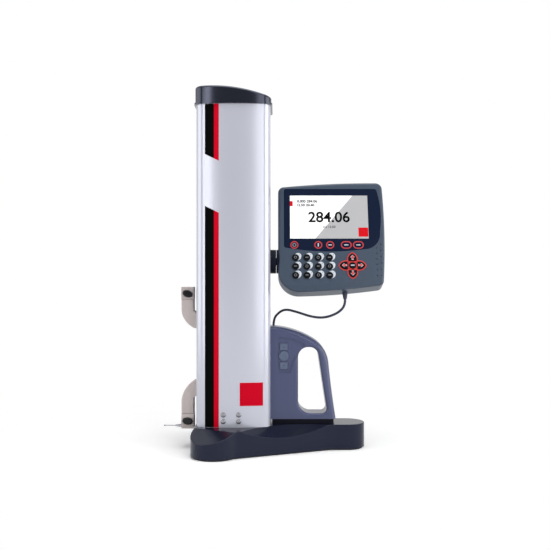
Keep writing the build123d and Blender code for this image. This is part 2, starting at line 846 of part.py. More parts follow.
# Toothed pulleys: one on the motor shaft, one on the axle of the top plate
for pulley_name, pulley_z, bore in (
    ("drive_pulley", drive_pulley_z, motor_shaft_radius + running_gap),
    ("idler_pulley", idler_pulley_z, idler_axle_radius + running_gap),
):
    with BuildPart() as pulley:
        with BuildSketch(Plane.XZ.offset(-pulley_outer_y)):
            with Locations((pulley_x, pulley_z)):
                Circle(pulley_radius)
                with PolarLocations(pulley_radius, pulley_tooth_count):
                    Circle(pulley_tooth_depth, mode=Mode.SUBTRACT)
        extrude(amount=-pulley_width)
        for rim_y in (pulley_outer_y, pulley_outer_y + pulley_width - pulley_flange_thickness):
            with BuildSketch(Plane.XZ.offset(-rim_y)):
                with Locations((pulley_x, pulley_z)):
                    Circle(pulley_flange_radius)
            extrude(amount=-pulley_flange_thickness)
        with BuildSketch(Plane.XZ.offset(-pulley_outer_y)):
            with Locations((pulley_x, pulley_z)):
                Circle(bore)
        extrude(amount=-pulley_width, mode=Mode.SUBTRACT)
    pulley.part.label = pulley_name
    export_step(pulley.part, f"parts/{pulley_name}.step")

# Toothed belt round both pulleys
with BuildPart() as toothed_belt:
    with BuildSketch(Plane.XZ.offset(-(belt_plane_y - belt_width / 2))):
        with Locations((pulley_x, (drive_pulley_z + idler_pulley_z) / 2)):
            belt_reach = idler_pulley_z - drive_pulley_z
            SlotCenterToCenter(belt_reach, 2 * belt_outer_radius, rotation=90)
            SlotCenterToCenter(belt_reach, 2 * belt_inner_radius, rotation=90, mode=Mode.SUBTRACT)
    extrude(amount=-belt_width)
toothed_belt.part.label = "toothed_belt"
export_step(toothed_belt.part, "parts/toothed_belt.step")

# Top plate with the ear and axle of the idler pulley
with BuildPart() as top_plate:
    with BuildSketch(Plane.XY.offset(column_top_z)):
        add(crowned_outline(top_plate_inset))
    extrude(amount=top_plate_thickness)
    with BuildSketch(Plane.XZ.offset(-motor_plate_y)):
        with Locations((pulley_x, column_top_z)):
            Rectangle(
                2 * belt_outer_radius,
                column_top_z - idler_pulley_z + belt_inner_radius,
                align=(Align.CENTER, Align.MAX),
            )
    extrude(amount=-motor_plate_thickness)
    ear_corners = top_plate.edges().filter_by(Axis.Y).group_by(Axis.Z)[0]
    fillet(ear_corners, belt_inner_radius - running_gap)
    with BuildSketch(Plane.XZ.offset(-motor_plate_y)):
        with Locations((pulley_x, idler_pulley_z)):
            Circle(idler_axle_radius)
    extrude(amount=motor_plate_y - pulley_outer_y + foot_fit_gap)
    with BuildSketch(Plane.XZ.offset(-pulley_outer_y + foot_fit_gap)):
        with Locations((pulley_x, idler_pulley_z)):
            Circle(idler_axle_head_radius)
    extrude(amount=idler_axle_head_height)
top_plate.part.label = "top_plate"
export_step(top_plate.part, "parts/top_plate.step")


def cap_surface_z(x, drop):
    """Height of the cap's curved top at x, measured drop below its outer surface."""
    reach = cap_top_radius - drop
    return cap_top_z - cap_top_radius + math.sqrt(reach**2 - (x - cap_apex_x) ** 2)


# Cap: crowned shell whose top falls towards the handle, on four posts
def cap_roof(drop):
    """Solid above the cap's curved top, lowered by drop."""
    with BuildPart() as above:
        with BuildSketch(Plane.XZ):
            with BuildLine():
                roof = ThreePointArc(
                    (-column_width, cap_surface_z(-column_width, drop)),
                    (0, cap_surface_z(0, drop)),
                    (column_width, cap_surface_z(column_width, drop)),
                )
                Polyline(roof @ 0, (-column_width, 2 * cap_top_z), (column_width, 2 * cap_top_z), roof @ 1)
            make_face()
        extrude(amount=column_depth, both=True)
    return above.part


with BuildPart() as cap_room:
    with BuildSketch(Plane.XY.offset(column_top_z)):
        add(crowned_outline(cap_wall - cap_overhang))
    extrude(amount=cap_top_z - column_top_z)
    add(cap_roof(cap_wall), mode=Mode.SUBTRACT)
    fillet(cap_room.faces().sort_by(Axis.Z)[-1].edges(), cap_edge_radius - cap_wall)

with BuildPart() as column_cap:
    with BuildSketch(Plane.XY.offset(column_top_z)):
        add(crowned_outline(-cap_overhang))
    extrude(amount=cap_top_z - column_top_z)
    add(cap_roof(0), mode=Mode.SUBTRACT)
    fillet(column_cap.faces().sort_by(Axis.Z)[-1].edges(), cap_edge_radius)
    with BuildSketch(Plane.XY.offset(column_top_z)):
        add(crowned_outline(-cap_overhang - cap_lip))
    extrude(amount=cap_lip_height)
    add(cap_room.part, mode=Mode.SUBTRACT)
    for post_x in (-cap_post_x, cap_post_x):
        with BuildSketch(Plane.XY.offset(column_top_z + top_plate_thickness)):
            with Locations((post_x, -cap_post_y), (post_x, cap_post_y)):
                Circle(cap_post_radius)
        post_top = cap_surface_z(post_x + cap_post_radius, cap_wall / 2)
        extrude(amount=post_top - column_top_z - top_plate_thickness)
column_cap.part.label = "column_cap"
export_step(column_cap.part, "parts/column_cap.step")

# Guide rail on the column's web
with BuildPart() as guide_rail:
    with BuildSketch(Plane.XY.offset(rail_foot_z)):
        with Locations((rail_x, 0)):
            Rectangle(rail_depth, 2 * rail_half_width, align=(Align.MIN, Align.CENTER))
        with Locations((rail_groove_x, -rail_half_width), (rail_groove_x, rail_half_width)):
            Circle(rail_groove_radius, mode=Mode.SUBTRACT)
    extrude(amount=rail_top_z - rail_foot_z)
    with Locations(*[Plane(origin=(rail_x, 0, z), z_dir=(-1, 0, 0)) for z in rail_screw_z]):
        CounterBoreHole(
            radius=rail_screw_radius + thread_gap,
            counter_bore_radius=rail_screw_head_radius,
            counter_bore_depth=rail_screw_head_height,
            depth=rail_depth,
        )
guide_rail.part.label = "guide_rail"
export_step(guide_rail.part, "parts/guide_rail.step")

# Ball runner that embraces the rail
with BuildPart() as guide_runner:
    with BuildSketch(Plane.XY.offset(runner_foot_z)):
        with Locations((runner_left_x, 0)):
            Rectangle(
                rail_x + runner_reach - runner_left_x,
                2 * runner_half_width,
                align=(Align.MIN, Align.CENTER),
            )
        with Locations((rail_x - running_gap, 0)):
            Rectangle(
                2 * runner_reach,
                2 * (rail_half_width + running_gap),
                align=(Align.MIN, Align.CENTER),
                mode=Mode.SUBTRACT,
            )
        for side in (-1, 1):
            with Locations((rail_groove_x, side * rail_half_width)):
                Circle(rail_groove_radius - running_gap)
    extrude(amount=runner_length)
guide_runner.part.label = "guide_runner"
export_step(guide_runner.part, "parts/guide_runner.step")

# Measuring scale beside the rail
with BuildPart() as measuring_scale:
    with BuildSketch(Plane.XY.offset(scale_foot_z)):
        with Locations((web_x, scale_left_y)):
            Rectangle(scale_thickness, scale_width, align=(Align.MAX, Align.MIN))
    extrude(amount=scale_length)
measuring_scale.part.label = "measuring_scale"
export_step(measuring_scale.part, "parts/measuring_scale.step")

# Reading head on the carriage, facing the scale
with BuildPart() as reading_head:
    with BuildSketch(Plane.XY.offset(reading_head_foot_z)):
        with Locations((runner_left_x, scale_left_y)):
            Rectangle(
                web_x - scale_thickness - reading_gap - runner_left_x,
                scale_width,
                align=(Align.MIN, Align.MIN),
            )
    extrude(amount=reading_head_height)
    chamfer(reading_head.edges().filter_by(Axis.Y), bracket_edge_chamfer)
reading_head.part.label = "reading_head"
export_step(reading_head.part, "parts/reading_head.step")

# Carriage block with the fork that grips the belt
belt_run_x = pulley_x - belt_outer_radius
fork_slot = belt_thickness + 2 * belt_clamp_gap
fork_right_x = belt_run_x - belt_clamp_gap + fork_slot + clamp_finger_thickness
with BuildPart() as carriage_block:
    with BuildSketch(Plane.XY.offset(carriage_foot_z)):
        with Locations((carriage_left_x, 0)):
            Rectangle(
                runner_left_x - carriage_left_x,
                2 * carriage_half_width,
                align=(Align.MIN, Align.CENTER),
            )
    extrude(amount=carriage_height)
    chamfer(carriage_block.edges().filter_by(Axis.Y), carriage_edge_chamfer)
    window_low_z = carriage_foot_z + carriage_window_end
    window_high_z = carriage_foot_z + carriage_height - carriage_window_end
    with BuildSketch(Plane.YZ.offset(carriage_left_x)):
        with Locations((0, window_low_z), (0, window_high_z)):
            RectangleRounded(carriage_window_width, carriage_window_height, carriage_edge_chamfer)
    extrude(amount=runner_left_x - carriage_left_x, mode=Mode.SUBTRACT)
    with BuildSketch(Plane.XY.offset(wing_foot_z)):
        with Locations((carriage_left_x, 0)):
            Rectangle(runner_left_x - carriage_left_x, 2 * wing_half_width, align=(Align.MIN, Align.CENTER))
    extrude(amount=wing_height)
    with BuildSketch(Plane.XY.offset(clamp_foot_z)):
        with Locations((runner_left_x, -wing_half_width)):
            Rectangle(
                fork_right_x - runner_left_x,
                wing_half_width - runner_half_width - column_wall,
                align=(Align.MIN, Align.MIN),
            )
        with Locations((belt_run_x - belt_clamp_gap, belt_far_y - belt_clamp_gap)):
            Rectangle(fork_slot, wing_half_width, align=(Align.MIN, Align.MIN), mode=Mode.SUBTRACT)
    extrude(amount=clamp_height)
carriage_block.part.label = "carriage_block"
export_step(carriage_block.part, "parts/carriage_block.step")

# Counterweight on the belt's other run
weight_run_x = pulley_x + belt_inner_radius
with BuildPart() as counterweight:
    with BuildSketch(Plane.XY.offset(weight_top_z - weight_length)):
        with Locations((weight_left_x + weight_width / 2, 0)):
            RectangleRounded(weight_width, 2 * weight_half_depth, weight_corner_radius)
        with Locations(*screw_ports):
            Circle(screw_port_radius + port_clearance, mode=Mode.SUBTRACT)
        with Locations((weight_run_x - belt_clamp_gap, belt_plane_y + belt_width / 2 + belt_clamp_gap)):
            Rectangle(
                fork_slot,
                column_depth,
                align=(Align.MIN, Align.MAX),
                mode=Mode.SUBTRACT,
            )
    extrude(amount=weight_length)
counterweight.part.label = "counterweight"
export_step(counterweight.part, "parts/counterweight.step")

# Probe bracket: spine inside the column, two arms out through the slot
with BuildPart() as probe_bracket:
    with BuildSketch(Plane.XZ):
        with BuildLine():
            Polyline(
                (bracket_outer_x, upper_arm_curve_z),
                (bracket_outer_x, upper_arm_top_z),
                (bracket_inner_x, upper_arm_top_z),
                (bracket_inner_x, upper_arm_step_z + step_rise),
                (bracket_inner_x + step_rise, upper_arm_step_z),
                (carriage_left_x, upper_arm_step_z),
                (carriage_left_x, lower_arm_step_z),
                (bracket_inner_x + step_rise, lower_arm_step_z),
                (bracket_inner_x, lower_arm_step_z - step_rise),
                (bracket_inner_x, lower_arm_foot_z),
                (bracket_outer_x, lower_arm_foot_z),
                (bracket_outer_x, lower_arm_curve_z),
            )
            ThreePointArc(
                (bracket_outer_x, lower_arm_curve_z), lower_arm_bend, (arm_root_x, lower_arm_top_z)
            )
            Polyline(
                (arm_root_x, lower_arm_top_z),
                (bracket_spine_x, lower_arm_top_z),
                (bracket_spine_x, upper_arm_foot_z),
                (arm_root_x, upper_arm_foot_z),
            )
            ThreePointArc(
                (arm_root_x, upper_arm_foot_z), upper_arm_bend, (bracket_outer_x, upper_arm_curve_z)
            )
        make_face()
    extrude(amount=bracket_half_thickness, both=True)
    side_faces = probe_bracket.faces().filter_by(Axis.Y)
    chamfer(side_faces.edges(), bracket_edge_chamfer)
probe_bracket.part.label = "probe_bracket"
export_step(probe_bracket.part, "parts/probe_bracket.step")

# Probe holders on the arms' ends: each has a stylus socket in its side and a knob bore in its face
lower_holder_foot_z = lower_arm_foot_z - lower_holder_height
holder_width = bracket_inner_x - bracket_outer_x
with BuildPart() as probe_holders:
    with BuildSketch(Plane.YZ.offset(bracket_outer_x)):
        with BuildLine():
            Polyline(
                (-holder_half_thickness + holder_bevel, upper_arm_top_z),
                (-holder_half_thickness, upper_arm_top_z + upper_bevel_height),
                (-holder_half_thickness, upper_arm_top_z + holder_height),
                (holder_half_thickness, upper_arm_top_z + holder_height),
                (holder_half_thickness, upper_arm_top_z + upper_bevel_height),
                (holder_half_thickness - holder_bevel, upper_arm_top_z),
                close=True,
            )
        make_face()
        with BuildLine():
            Polyline(
                (-holder_half_thickness + holder_bevel, lower_arm_foot_z),
                (-holder_half_thickness, lower_arm_foot_z - lower_bevel_height),
                (-holder_half_thickness, lower_holder_foot_z),
                (holder_half_thickness, lower_holder_foot_z),
                (holder_half_thickness, lower_arm_foot_z - lower_bevel_height),
                (holder_half_thickness - holder_bevel, lower_arm_foot_z),
                close=True,
            )
        make_face()
    extrude(amount=holder_width)
    with BuildSketch(Plane.YZ.offset(bracket_outer_x)):
        with Locations((0, upper_socket_z), (0, probe_z)):
            Circle(probe_bore_radius)
    extrude(amount=probe_bore_length, mode=Mode.SUBTRACT)
    with BuildSketch(Plane.XZ.offset(holder_half_thickness)):
        with Locations((knob_x, upper_knob_z), (knob_x, lower_knob_z)):
            Circle(knob_stem_radius + running_gap)
    extrude(amount=-(knob_stem_length + bore_end_room), mode=Mode.SUBTRACT)
probe_holders.part.label = "probe_holders"
export_step(probe_holders.part, "parts/probe_holders.step")

# Oval clamp knobs
for knob_name, knob_z, knob_turn in (
    ("upper_knob", upper_knob_z, upper_knob_turn),
    ("lower_knob", lower_knob_z, lower_knob_turn),
):
    turn = math.radians(knob_turn)
    knob_plane = Plane(
        origin=(knob_x, -holder_half_thickness - knob_seat_gap, knob_z),
        x_dir=(math.cos(turn), 0, math.sin(turn)),
        z_dir=(0, -1, 0),
    )
    with BuildPart() as knob:
        with BuildSketch(knob_plane):
            Ellipse(knob_half_length, knob_half_width)
        extrude(amount=knob_height)
        fillet(knob.edges().group_by(Axis.Y)[0], knob_dome_radius)
        with BuildSketch(knob_plane):
            Circle(knob_stem_radius)
        extrude(amount=-knob_stem_length)
    knob.part.label = knob_name
    export_step(knob.part, f"parts/{knob_name}.step")

# Probe: threaded shank, flared flange and thin stylus
flange_tip_x = bracket_outer_x - probe_flange_length
stylus_tip_x = flange_tip_x - stylus_length
shank_end_x = bracket_outer_x + probe_bore_length - bore_end_room
with BuildPart() as probe_stem:
    with BuildSketch(Plane.XZ):
        with BuildLine():
            Polyline(
                (shank_end_x, probe_z),
                (shank_end_x, probe_z + probe_bore_radius - thread_gap),
                (bracket_outer_x, probe_z + probe_bore_radius - thread_gap),
                (bracket_outer_x, probe_z + probe_flange_radius),
            )
            ThreePointArc(
                (bracket_outer_x, probe_z + probe_flange_radius),
                (bracket_outer_x - probe_flange_length / 2, probe_z + probe_flange_radius * flange_bulge),
                (flange_tip_x, probe_z + probe_neck_radius),
            )
            Polyline(
                (flange_tip_x, probe_z + probe_neck_radius),
                (flange_tip_x, probe_z + stylus_radius),
                (stylus_tip_x, probe_z + stylus_radius),
                (stylus_tip_x, probe_z),
                (shank_end_x, probe_z),
            )
        make_face()
    revolve(axis=Axis((0, 0, probe_z), (1, 0, 0)))
probe_stem.part.label = "probe_stem"
export_step(probe_stem.part, "parts/probe_stem.step")

# Probe ball, flat where the stylus carries it
ball_x = stylus_tip_x - math.sqrt(ball_radius**2 - stylus_radius**2)
with BuildPart() as probe_ball:
    with Locations((ball_x, 0, probe_z)):
        Sphere(ball_radius)
    split(bisect_by=Plane(origin=(stylus_tip_x, 0, probe_z), z_dir=(-1, 0, 0)), keep=Keep.TOP)
probe_ball.part.label = "probe_ball"
export_step(probe_ball.part, "parts/probe_ball.step")

# Handle, modelled whole and then parted into its front and rear shells
handle_root_x = column_width / 2
key_wall_y = -(handle_half_thickness - recess_depth - handle_wall)


def hand_opening(growth):
    """Outline of the opening for the hand, larger by growth all round."""
    foot_left = (hand_opening_left_x, hand_opening_foot_z)
    foot_right = (hand_opening_foot_right_x, hand_opening_foot_z)
    top_left = (hand_opening_left_x, hand_opening_top_z)
    top_right = (hand_opening_top_right_x, hand_opening_top_z)
    corners = (foot_left, foot_right, top_right, top_left)
    radii = hand_opening_foot_radii + hand_opening_top_radii[::-1]
    with BuildSketch() as outline:
        with BuildLine():
            Polyline(*corners, close=True)
        make_face()
        for corner, radius in zip(corners, radii):
            fillet(outline.vertices().sort_by_distance(corner)[0], radius)
        if growth:
            offset(amount=growth)
    return outline.sketch


def handle_outline(inset):
    """Outline of the handle, smaller by inset."""
    with BuildSketch() as outline:
        with BuildLine():
            root = Line((handle_root_x, handle_foot_z), (handle_root_x, handle_root_top_z))
            crown = ThreePointArc(root @ 1, handle_crown_point, handle_shoulder_point)
            bend = TangentArc(crown @ 1, handle_bend_point, tangent=crown % 1)
            grip = TangentArc(bend @ 1, (handle_toe_x, handle_foot_z), tangent=bend % 1)
            Line(grip @ 1, root @ 0)
        make_face()
        if inset:
            offset(amount=-inset)
    return outline.sketch


opening_outline = hand_opening(0)
with BuildSketch() as handle_room:
    add(handle_outline(handle_inner_inset))
    add(hand_opening(handle_inner_inset), mode=Mode.SUBTRACT)
    with Locations((recess_left_x, (recess_foot_z + key_cavity_top_z) / 2)):
        Rectangle(
            handle_toe_x - handle_root_x,
            key_cavity_top_z - recess_foot_z + 2 * handle_wall,
            mode=Mode.SUBTRACT,
        )
    with Locations(*handle_screw_spots):
        Circle(handle_screw_boss_radius, mode=Mode.SUBTRACT)
with BuildSketch() as key_recess:
    with BuildLine():
        recess_top = ThreePointArc((recess_left_x, recess_top_z), recess_top_mid, recess_top_right)
        Polyline(
            recess_top @ 1,
            (recess_top_right[0], recess_mouth_z),
            recess_side,
            (recess_right_x, recess_foot_z),
            (recess_left_x, recess_foot_z),
            recess_top @ 0,
        )
    make_face()
    fillet(key_recess.vertices().sort_by_distance(recess_side)[0], recess_side_radius)
    for corner in ((recess_right_x, recess_foot_z), (recess_left_x, recess_foot_z), recess_top @ 0):
        fillet(key_recess.vertices().sort_by_distance(corner)[0], recess_corner_radius)
with BuildPart() as handle_body:
    with BuildSketch(Plane.XZ):
        add(handle_outline(0))
    extrude(amount=handle_half_thickness, both=True)
    fillet(
        handle_body.faces().filter_by(Axis.Y).edges().filter_by(GeomType.CIRCLE), handle_edge_radius
    )
    with BuildSketch(Plane.XZ):
        add(opening_outline)
    extrude(amount=handle_half_thickness, both=True, mode=Mode.SUBTRACT)
    opening_middle_x = (hand_opening_left_x + hand_opening_foot_right_x) / 2
    opening_middle_z = (hand_opening_foot_z + hand_opening_top_z) / 2
    opening_reach_x = (hand_opening_foot_right_x - hand_opening_left_x) / 2 + seat_gap
    opening_reach_z = (hand_opening_top_z - hand_opening_foot_z) / 2 + seat_gap
    opening_rims = [
        edge
        for edge in handle_body.faces().filter_by(Axis.Y).edges()
        if abs(edge.center().X - opening_middle_x) < opening_reach_x
        and abs(edge.center().Z - opening_middle_z) < opening_reach_z
    ]
    fillet(opening_rims, hand_opening_edge_radius)
    with BuildSketch(Plane.XZ.offset(handle_half_thickness)):
        add(key_recess.sketch)
    extrude(amount=-recess_depth, mode=Mode.SUBTRACT)
    with BuildSketch(Plane.XZ.offset(handle_inner_depth)):
        add(handle_room.sketch)
    extrude(amount=-2 * handle_inner_depth, mode=Mode.SUBTRACT)
    with BuildSketch(Plane.XZ.offset(-key_wall_y)):
        with Locations(
            ((key_cavity_left_x + key_cavity_right_x) / 2, (key_cavity_foot_z + key_cavity_top_z) / 2)
        ):
            Rectangle(key_cavity_right_x - key_cavity_left_x, key_cavity_top_z - key_cavity_foot_z)
    extrude(amount=-(handle_inner_depth - key_wall_y), mode=Mode.SUBTRACT)
    with BuildSketch(Plane.XZ.offset(handle_half_thickness)):
        for key_name, key_z in handle_key_centres_z.items():
            with Locations((handle_key_x, key_z)):
                if key_name == "round":
                    Circle(handle_round_key_radius + key_gap)
                else:
                    RectangleRounded(
                        2 * (handle_key_half_width + key_gap),
                        2 * (handle_key_half_height + key_gap),
                        handle_key_corner_radius,
                    )
    extrude(amount=-(handle_half_thickness + key_wall_y), mode=Mode.SUBTRACT)
    with BuildSketch(Plane.XZ.offset(-handle_half_thickness)):
        with Locations(*handle_screw_spots):
            Circle(handle_screw_head_radius + foot_fit_gap)
    extrude(amount=handle_half_thickness - handle_screw_seat_y, mode=Mode.SUBTRACT)
    with BuildSketch(Plane.XZ.offset(-handle_screw_seat_y)):
        with Locations(*handle_screw_spots):
            Circle(handle_screw_radius + thread_gap)
    extrude(amount=handle_screw_length, mode=Mode.SUBTRACT)

for shell_name, kept_side in (("handle_shell_front", Keep.TOP), ("handle_shell_rear", Keep.BOTTOM)):
    with BuildPart() as handle_shell:
        add(handle_body.part)
        split(bisect_by=Plane.XZ, keep=kept_side)
    handle_shell.part.label = shell_name
    export_step(handle_shell.part, f"parts/{shell_name}.step")

# Screws that hold the two handle shells together, from the back
with BuildPart() as handle_screws:
    with BuildSketch(Plane.XZ.offset(-handle_screw_seat_y)):
        with Locations(*handle_screw_spots):
            Circle(handle_screw_head_radius)
    extrude(amount=-handle_screw_head_height)
    with BuildSketch(Plane.XZ.offset(-handle_screw_seat_y - handle_screw_head_height)):
        with Locations(*handle_screw_spots):
            RegularPolygon(handle_screw_radius, hex_sides)
    extrude(amount=handle_screw_radius, mode=Mode.SUBTRACT)
    with BuildSketch(Plane.XZ.offset(-handle_screw_seat_y)):
        with Locations(*handle_screw_spots):
            Circle(handle_screw_radius)
    extrude(amount=handle_screw_length - bore_end_room)
handle_screws.part.label = "handle_screws"
export_step(handle_screws.part, "parts/handle_screws.step")

# Dark foot between the handle and the base
with BuildPart() as handle_foot:
    with BuildSketch(Plane.XY.offset(base_height)):
        with Locations((handle_root_x + foot_pad_inset, 0)):
            Rectangle(
                handle_toe_x - handle_root_x - 2 * foot_pad_inset,
                2 * (handle_half_thickness - foot_pad_inset),
                align=(Align.MIN, Align.CENTER),
            )
    extrude(amount=handle_foot_z - base_height)
    fillet(handle_foot.edges().filter_by(Axis.Z).group_by(Axis.X)[-1], foot_pad_nose_radius)
handle_foot.part.label = "handle_foot"
export_step(handle_foot.part, "parts/handle_foot.step")

# Handle keys: each has a flange that catches behind the shell
handle_key_length = handle_key_proud + handle_wall + key_flange_drop + handle_key_flange_thickness
for key_name, key_z in handle_key_centres_z.items():
    with BuildPart() as handle_key:
        with BuildSketch(Plane.XZ.offset(handle_half_thickness - recess_depth + handle_key_proud)):
            with Locations((handle_key_x, key_z)):
                if key_name == "round":
                    Circle(handle_round_key_radius)
                else:
                    RectangleRounded(
                        2 * handle_key_half_width, 2 * handle_key_half_height, handle_key_corner_radius
                    )
        extrude(amount=-handle_key_length)
        fillet(handle_key.edges().group_by(Axis.Y)[0], handle_key_round)
        with BuildSketch(Plane.XZ.offset(-key_wall_y - key_flange_drop)):
            with Locations((handle_key_x, key_z)):
                if key_name == "round":
                    Circle(handle_round_key_radius + handle_key_flange_rise)
                else:
                    Rectangle(
                        2 * (handle_key_half_width + handle_key_flange),
                        2 * (handle_key_half_height + handle_key_flange_rise),
                    )
        extrude(amount=-handle_key_flange_thickness)
    handle_key.part.label = f"handle_key_{key_name}"
    export_step(handle_key.part, f"parts/handle_key_{key_name}.step")

# Pivot boss on the column's side
pivot_plane = Plane(origin=(handle_root_x, hinge_y, hinge_z), x_dir=(0, 1, 0), z_dir=(1, 0, 0))
with BuildPart() as pivot_boss:
    with BuildSketch(pivot_plane):
        Circle(pivot_radius)
        Circle(tilt_shaft_radius + running_gap, mode=Mode.SUBTRACT)
    extrude(amount=pivot_boss_length)
    fillet(pivot_boss.edges().group_by(Axis.X)[-1].sort_by(SortBy.RADIUS)[-1], tilt_collar_groove)
pivot_boss.part.label = "pivot_boss"
export_step(pivot_boss.part, "parts/pivot_boss.step")

# Tilt shaft with the collar that carries the console
collar_foot = pivot_boss_length + tilt_collar_gap
collar_length = console_left_x - handle_root_x - collar_foot
with BuildPart() as tilt_shaft:
    with BuildSketch(pivot_plane.offset(tilt_shaft_start)):
        Circle(tilt_shaft_radius)
    extrude(amount=tilt_shaft_length)
    with BuildSketch(pivot_plane.offset(collar_foot)):
        Circle(pivot_radius)
    extrude(amount=collar_length)
    fillet(
        tilt_shaft.edges().filter_by(GeomType.CIRCLE).sort_by(SortBy.RADIUS)[-2:].sort_by(Axis.X)[0],
        tilt_collar_groove,
    )
tilt_shaft.part.label = "tilt_shaft"
export_step(tilt_shaft.part, "parts/tilt_shaft.step")

# Console front shell: face wall with the glass pocket, screen window and key holes
shaft_v = -console_face_drop
arrow_turns = {"right": 0, "up": 90, "left": 180, "down": 270}
key_spots = {
    f"key_r{row + 1}c{column + 1}": (x, v)
    for row, v in enumerate(keypad_v)
    for column, x in enumerate(keypad_x)
}
screen_middle = ((screen_left_x + screen_right_x) / 2, (screen_foot_v + screen_top_v) / 2)
screen_width = screen_right_x - screen_left_x
screen_height = screen_top_v - screen_foot_v
arrow_hole = arrow_outline(-key_gap)
arrow_shape = arrow_outline(0)
arrow_flange_shape = arrow_outline(-arrow_flange)
parting = console_plane.offset(-console_front_depth)
face_wall = glass_thickness + glass_bed
tilt_seat_middle = (console_left_x + console_wall / 2 + tilt_seat_width / 2, shaft_v)
chin_turn = math.degrees(math.atan2(chin_right[1] - chin_left[1], chin_right[0] - chin_left[0]))
chin_place = Location((*chin_left, 0), (0, 0, chin_turn)) * Location((0, 0, 0), (chin_fall, 0, 0))
chin_plane = Plane(console_plane.location * chin_place)

with BuildPart() as console_shell_front:
    with BuildSketch(parting):
        add(console_outline(0))
    extrude(amount=console_front_depth)
    fillet(console_shell_front.faces().sort_by(face_axis)[-1].edges(), console_front_edge_radius)
    with BuildSketch(chin_plane):
        Rectangle(2 * console_right_x, 2 * console_right_x)
    extrude(amount=console_front_depth, mode=Mode.SUBTRACT)
    with BuildSketch(parting):
        add(console_outline(console_wall))
    extrude(amount=console_front_depth - face_wall, mode=Mode.SUBTRACT)
    with BuildSketch(console_plane.offset(-face_wall)):
        with Locations(*board_boss_spots):
            Circle(board_boss_radius)
    extrude(amount=-(board_front - face_wall))
    with BuildSketch(parting):
        with Locations(tilt_seat_middle):
            Rectangle(tilt_seat_width, tilt_seat_height)
    extrude(amount=console_front_depth - board_front - board_thickness - seat_gap)
    with BuildSketch(console_plane):
        add(glass_outline(-glass_gap))
    extrude(amount=-glass_thickness, mode=Mode.SUBTRACT)
    with BuildSketch(console_plane):
        with Locations(screen_middle):
            Rectangle(screen_width + 2 * window_margin, screen_height + 2 * window_margin)
    extrude(amount=-face_wall, mode=Mode.SUBTRACT)
    with BuildSketch(console_plane):
        with Locations(*key_spots.values()):
            Circle(key_radius + key_gap)
        with Locations(arrow_centre):
            Circle(centre_key_radius + key_gap)
        for turn in arrow_turns.values():
            add(arrow_hole.rotate(Axis.Z, turn).moved(Location((*arrow_centre, 0))))
        for column_x, hole_count, pitch in sounder_columns:
            with Locations(*[(column_x, sounder_foot_v + i * pitch) for i in range(hole_count)]):
                Circle(sounder_hole_radius)
    extrude(amount=-face_wall, mode=Mode.SUBTRACT)
    with BuildSketch(pivot_plane.offset(collar_foot)):
        Circle(tilt_shaft_radius + thread_gap)
    extrude(amount=tilt_shaft_length, mode=Mode.SUBTRACT)
console_shell_front.part.label = "console_shell_front"
export_step(console_shell_front.part, "parts/console_shell_front.step")

# Console rear shell
sleeve_plane = Plane(
    origin=console_plane.from_local_coords(Vector(sleeve_x, sleeve_root_v, -sleeve_face_depth)),
    x_dir=(1, 0, 0),
    z_dir=(-face_up[0], -face_up[1], -face_up[2]),
)
with BuildPart() as console_shell_rear:
    with BuildSketch(parting):
        add(console_outline(0))
    extrude(amount=-console_back_depth)
    fillet(console_shell_rear.faces().sort_by(face_axis)[0].edges(), console_back_edge_radius)
    with BuildSketch(parting):
        add(console_outline(console_wall))
    extrude(amount=-(console_back_depth - console_back_edge_radius), mode=Mode.SUBTRACT)
    with BuildSketch(parting):
        add(console_outline(2 * console_wall))
    extrude(amount=-(console_back_depth - console_wall), mode=Mode.SUBTRACT)
    with BuildSketch(parting):
        with Locations(tilt_seat_middle):
            Rectangle(tilt_seat_width, tilt_seat_height)
    extrude(amount=-(console_back_depth - console_wall / 2))
    with BuildSketch(pivot_plane.offset(collar_foot)):
        Circle(tilt_shaft_radius + thread_gap)
    extrude(amount=tilt_shaft_length, mode=Mode.SUBTRACT)
    with BuildSketch(sleeve_plane):
        Circle(sleeve_root_radius + thread_gap)
    extrude(amount=sleeve_collar_length + sleeve_cone_length, mode=Mode.SUBTRACT)
console_shell_rear.part.label = "console_shell_rear"
export_step(console_shell_rear.part, "parts/console_shell_rear.step")

# Glass panel over the display
with BuildPart() as console_glass:
    with BuildSketch(console_plane.offset(-glass_thickness)):
        add(glass_outline(0))
    extrude(amount=glass_thickness)
console_glass.part.label = "console_glass"
export_step(console_glass.part, "parts/console_glass.step")

# Display behind the window
with BuildPart() as display_panel:
    with BuildSketch(console_plane.offset(-face_wall)):
        with Locations(screen_middle):
            Rectangle(screen_width + 2 * display_margin, screen_height + 2 * display_margin)
    extrude(amount=-display_thickness)
    with BuildSketch(console_plane.offset(-face_wall)):
        with Locations(screen_middle):
            Rectangle(screen_width, screen_height)
    extrude(amount=window_margin / 2)
display_panel.part.label = "display_panel"
export_step(display_panel.part, "parts/display_panel.step")

# Console board with the key contacts
with BuildPart() as console_board:
    with BuildSketch(console_plane.offset(-board_front)):
        with Locations(((board_left_x + board_right_x) / 2, (board_foot_v + board_top_v) / 2)):
            Rectangle(board_right_x - board_left_x, board_top_v - board_foot_v)
    extrude(amount=-board_thickness)
console_board.part.label = "console_board"
export_step(console_board.part, "parts/console_board.step")

# Number keys
flange_face = face_wall + key_flange_drop
for key_name, key_spot in key_spots.items():
    with BuildPart() as number_key:
        with BuildSketch(console_plane.offset(key_proud)):
            with Locations(key_spot):
                Circle(key_radius)
        extrude(amount=-(key_proud + key_depth))
        fillet(number_key.edges().group_by(face_axis)[-1], key_round)
        with BuildSketch(console_plane.offset(-flange_face)):
            with Locations(key_spot):
                Circle(key_radius + key_flange)
        extrude(amount=-key_flange_thickness)
    number_key.part.label = key_name
    export_step(number_key.part, f"parts/{key_name}.step")

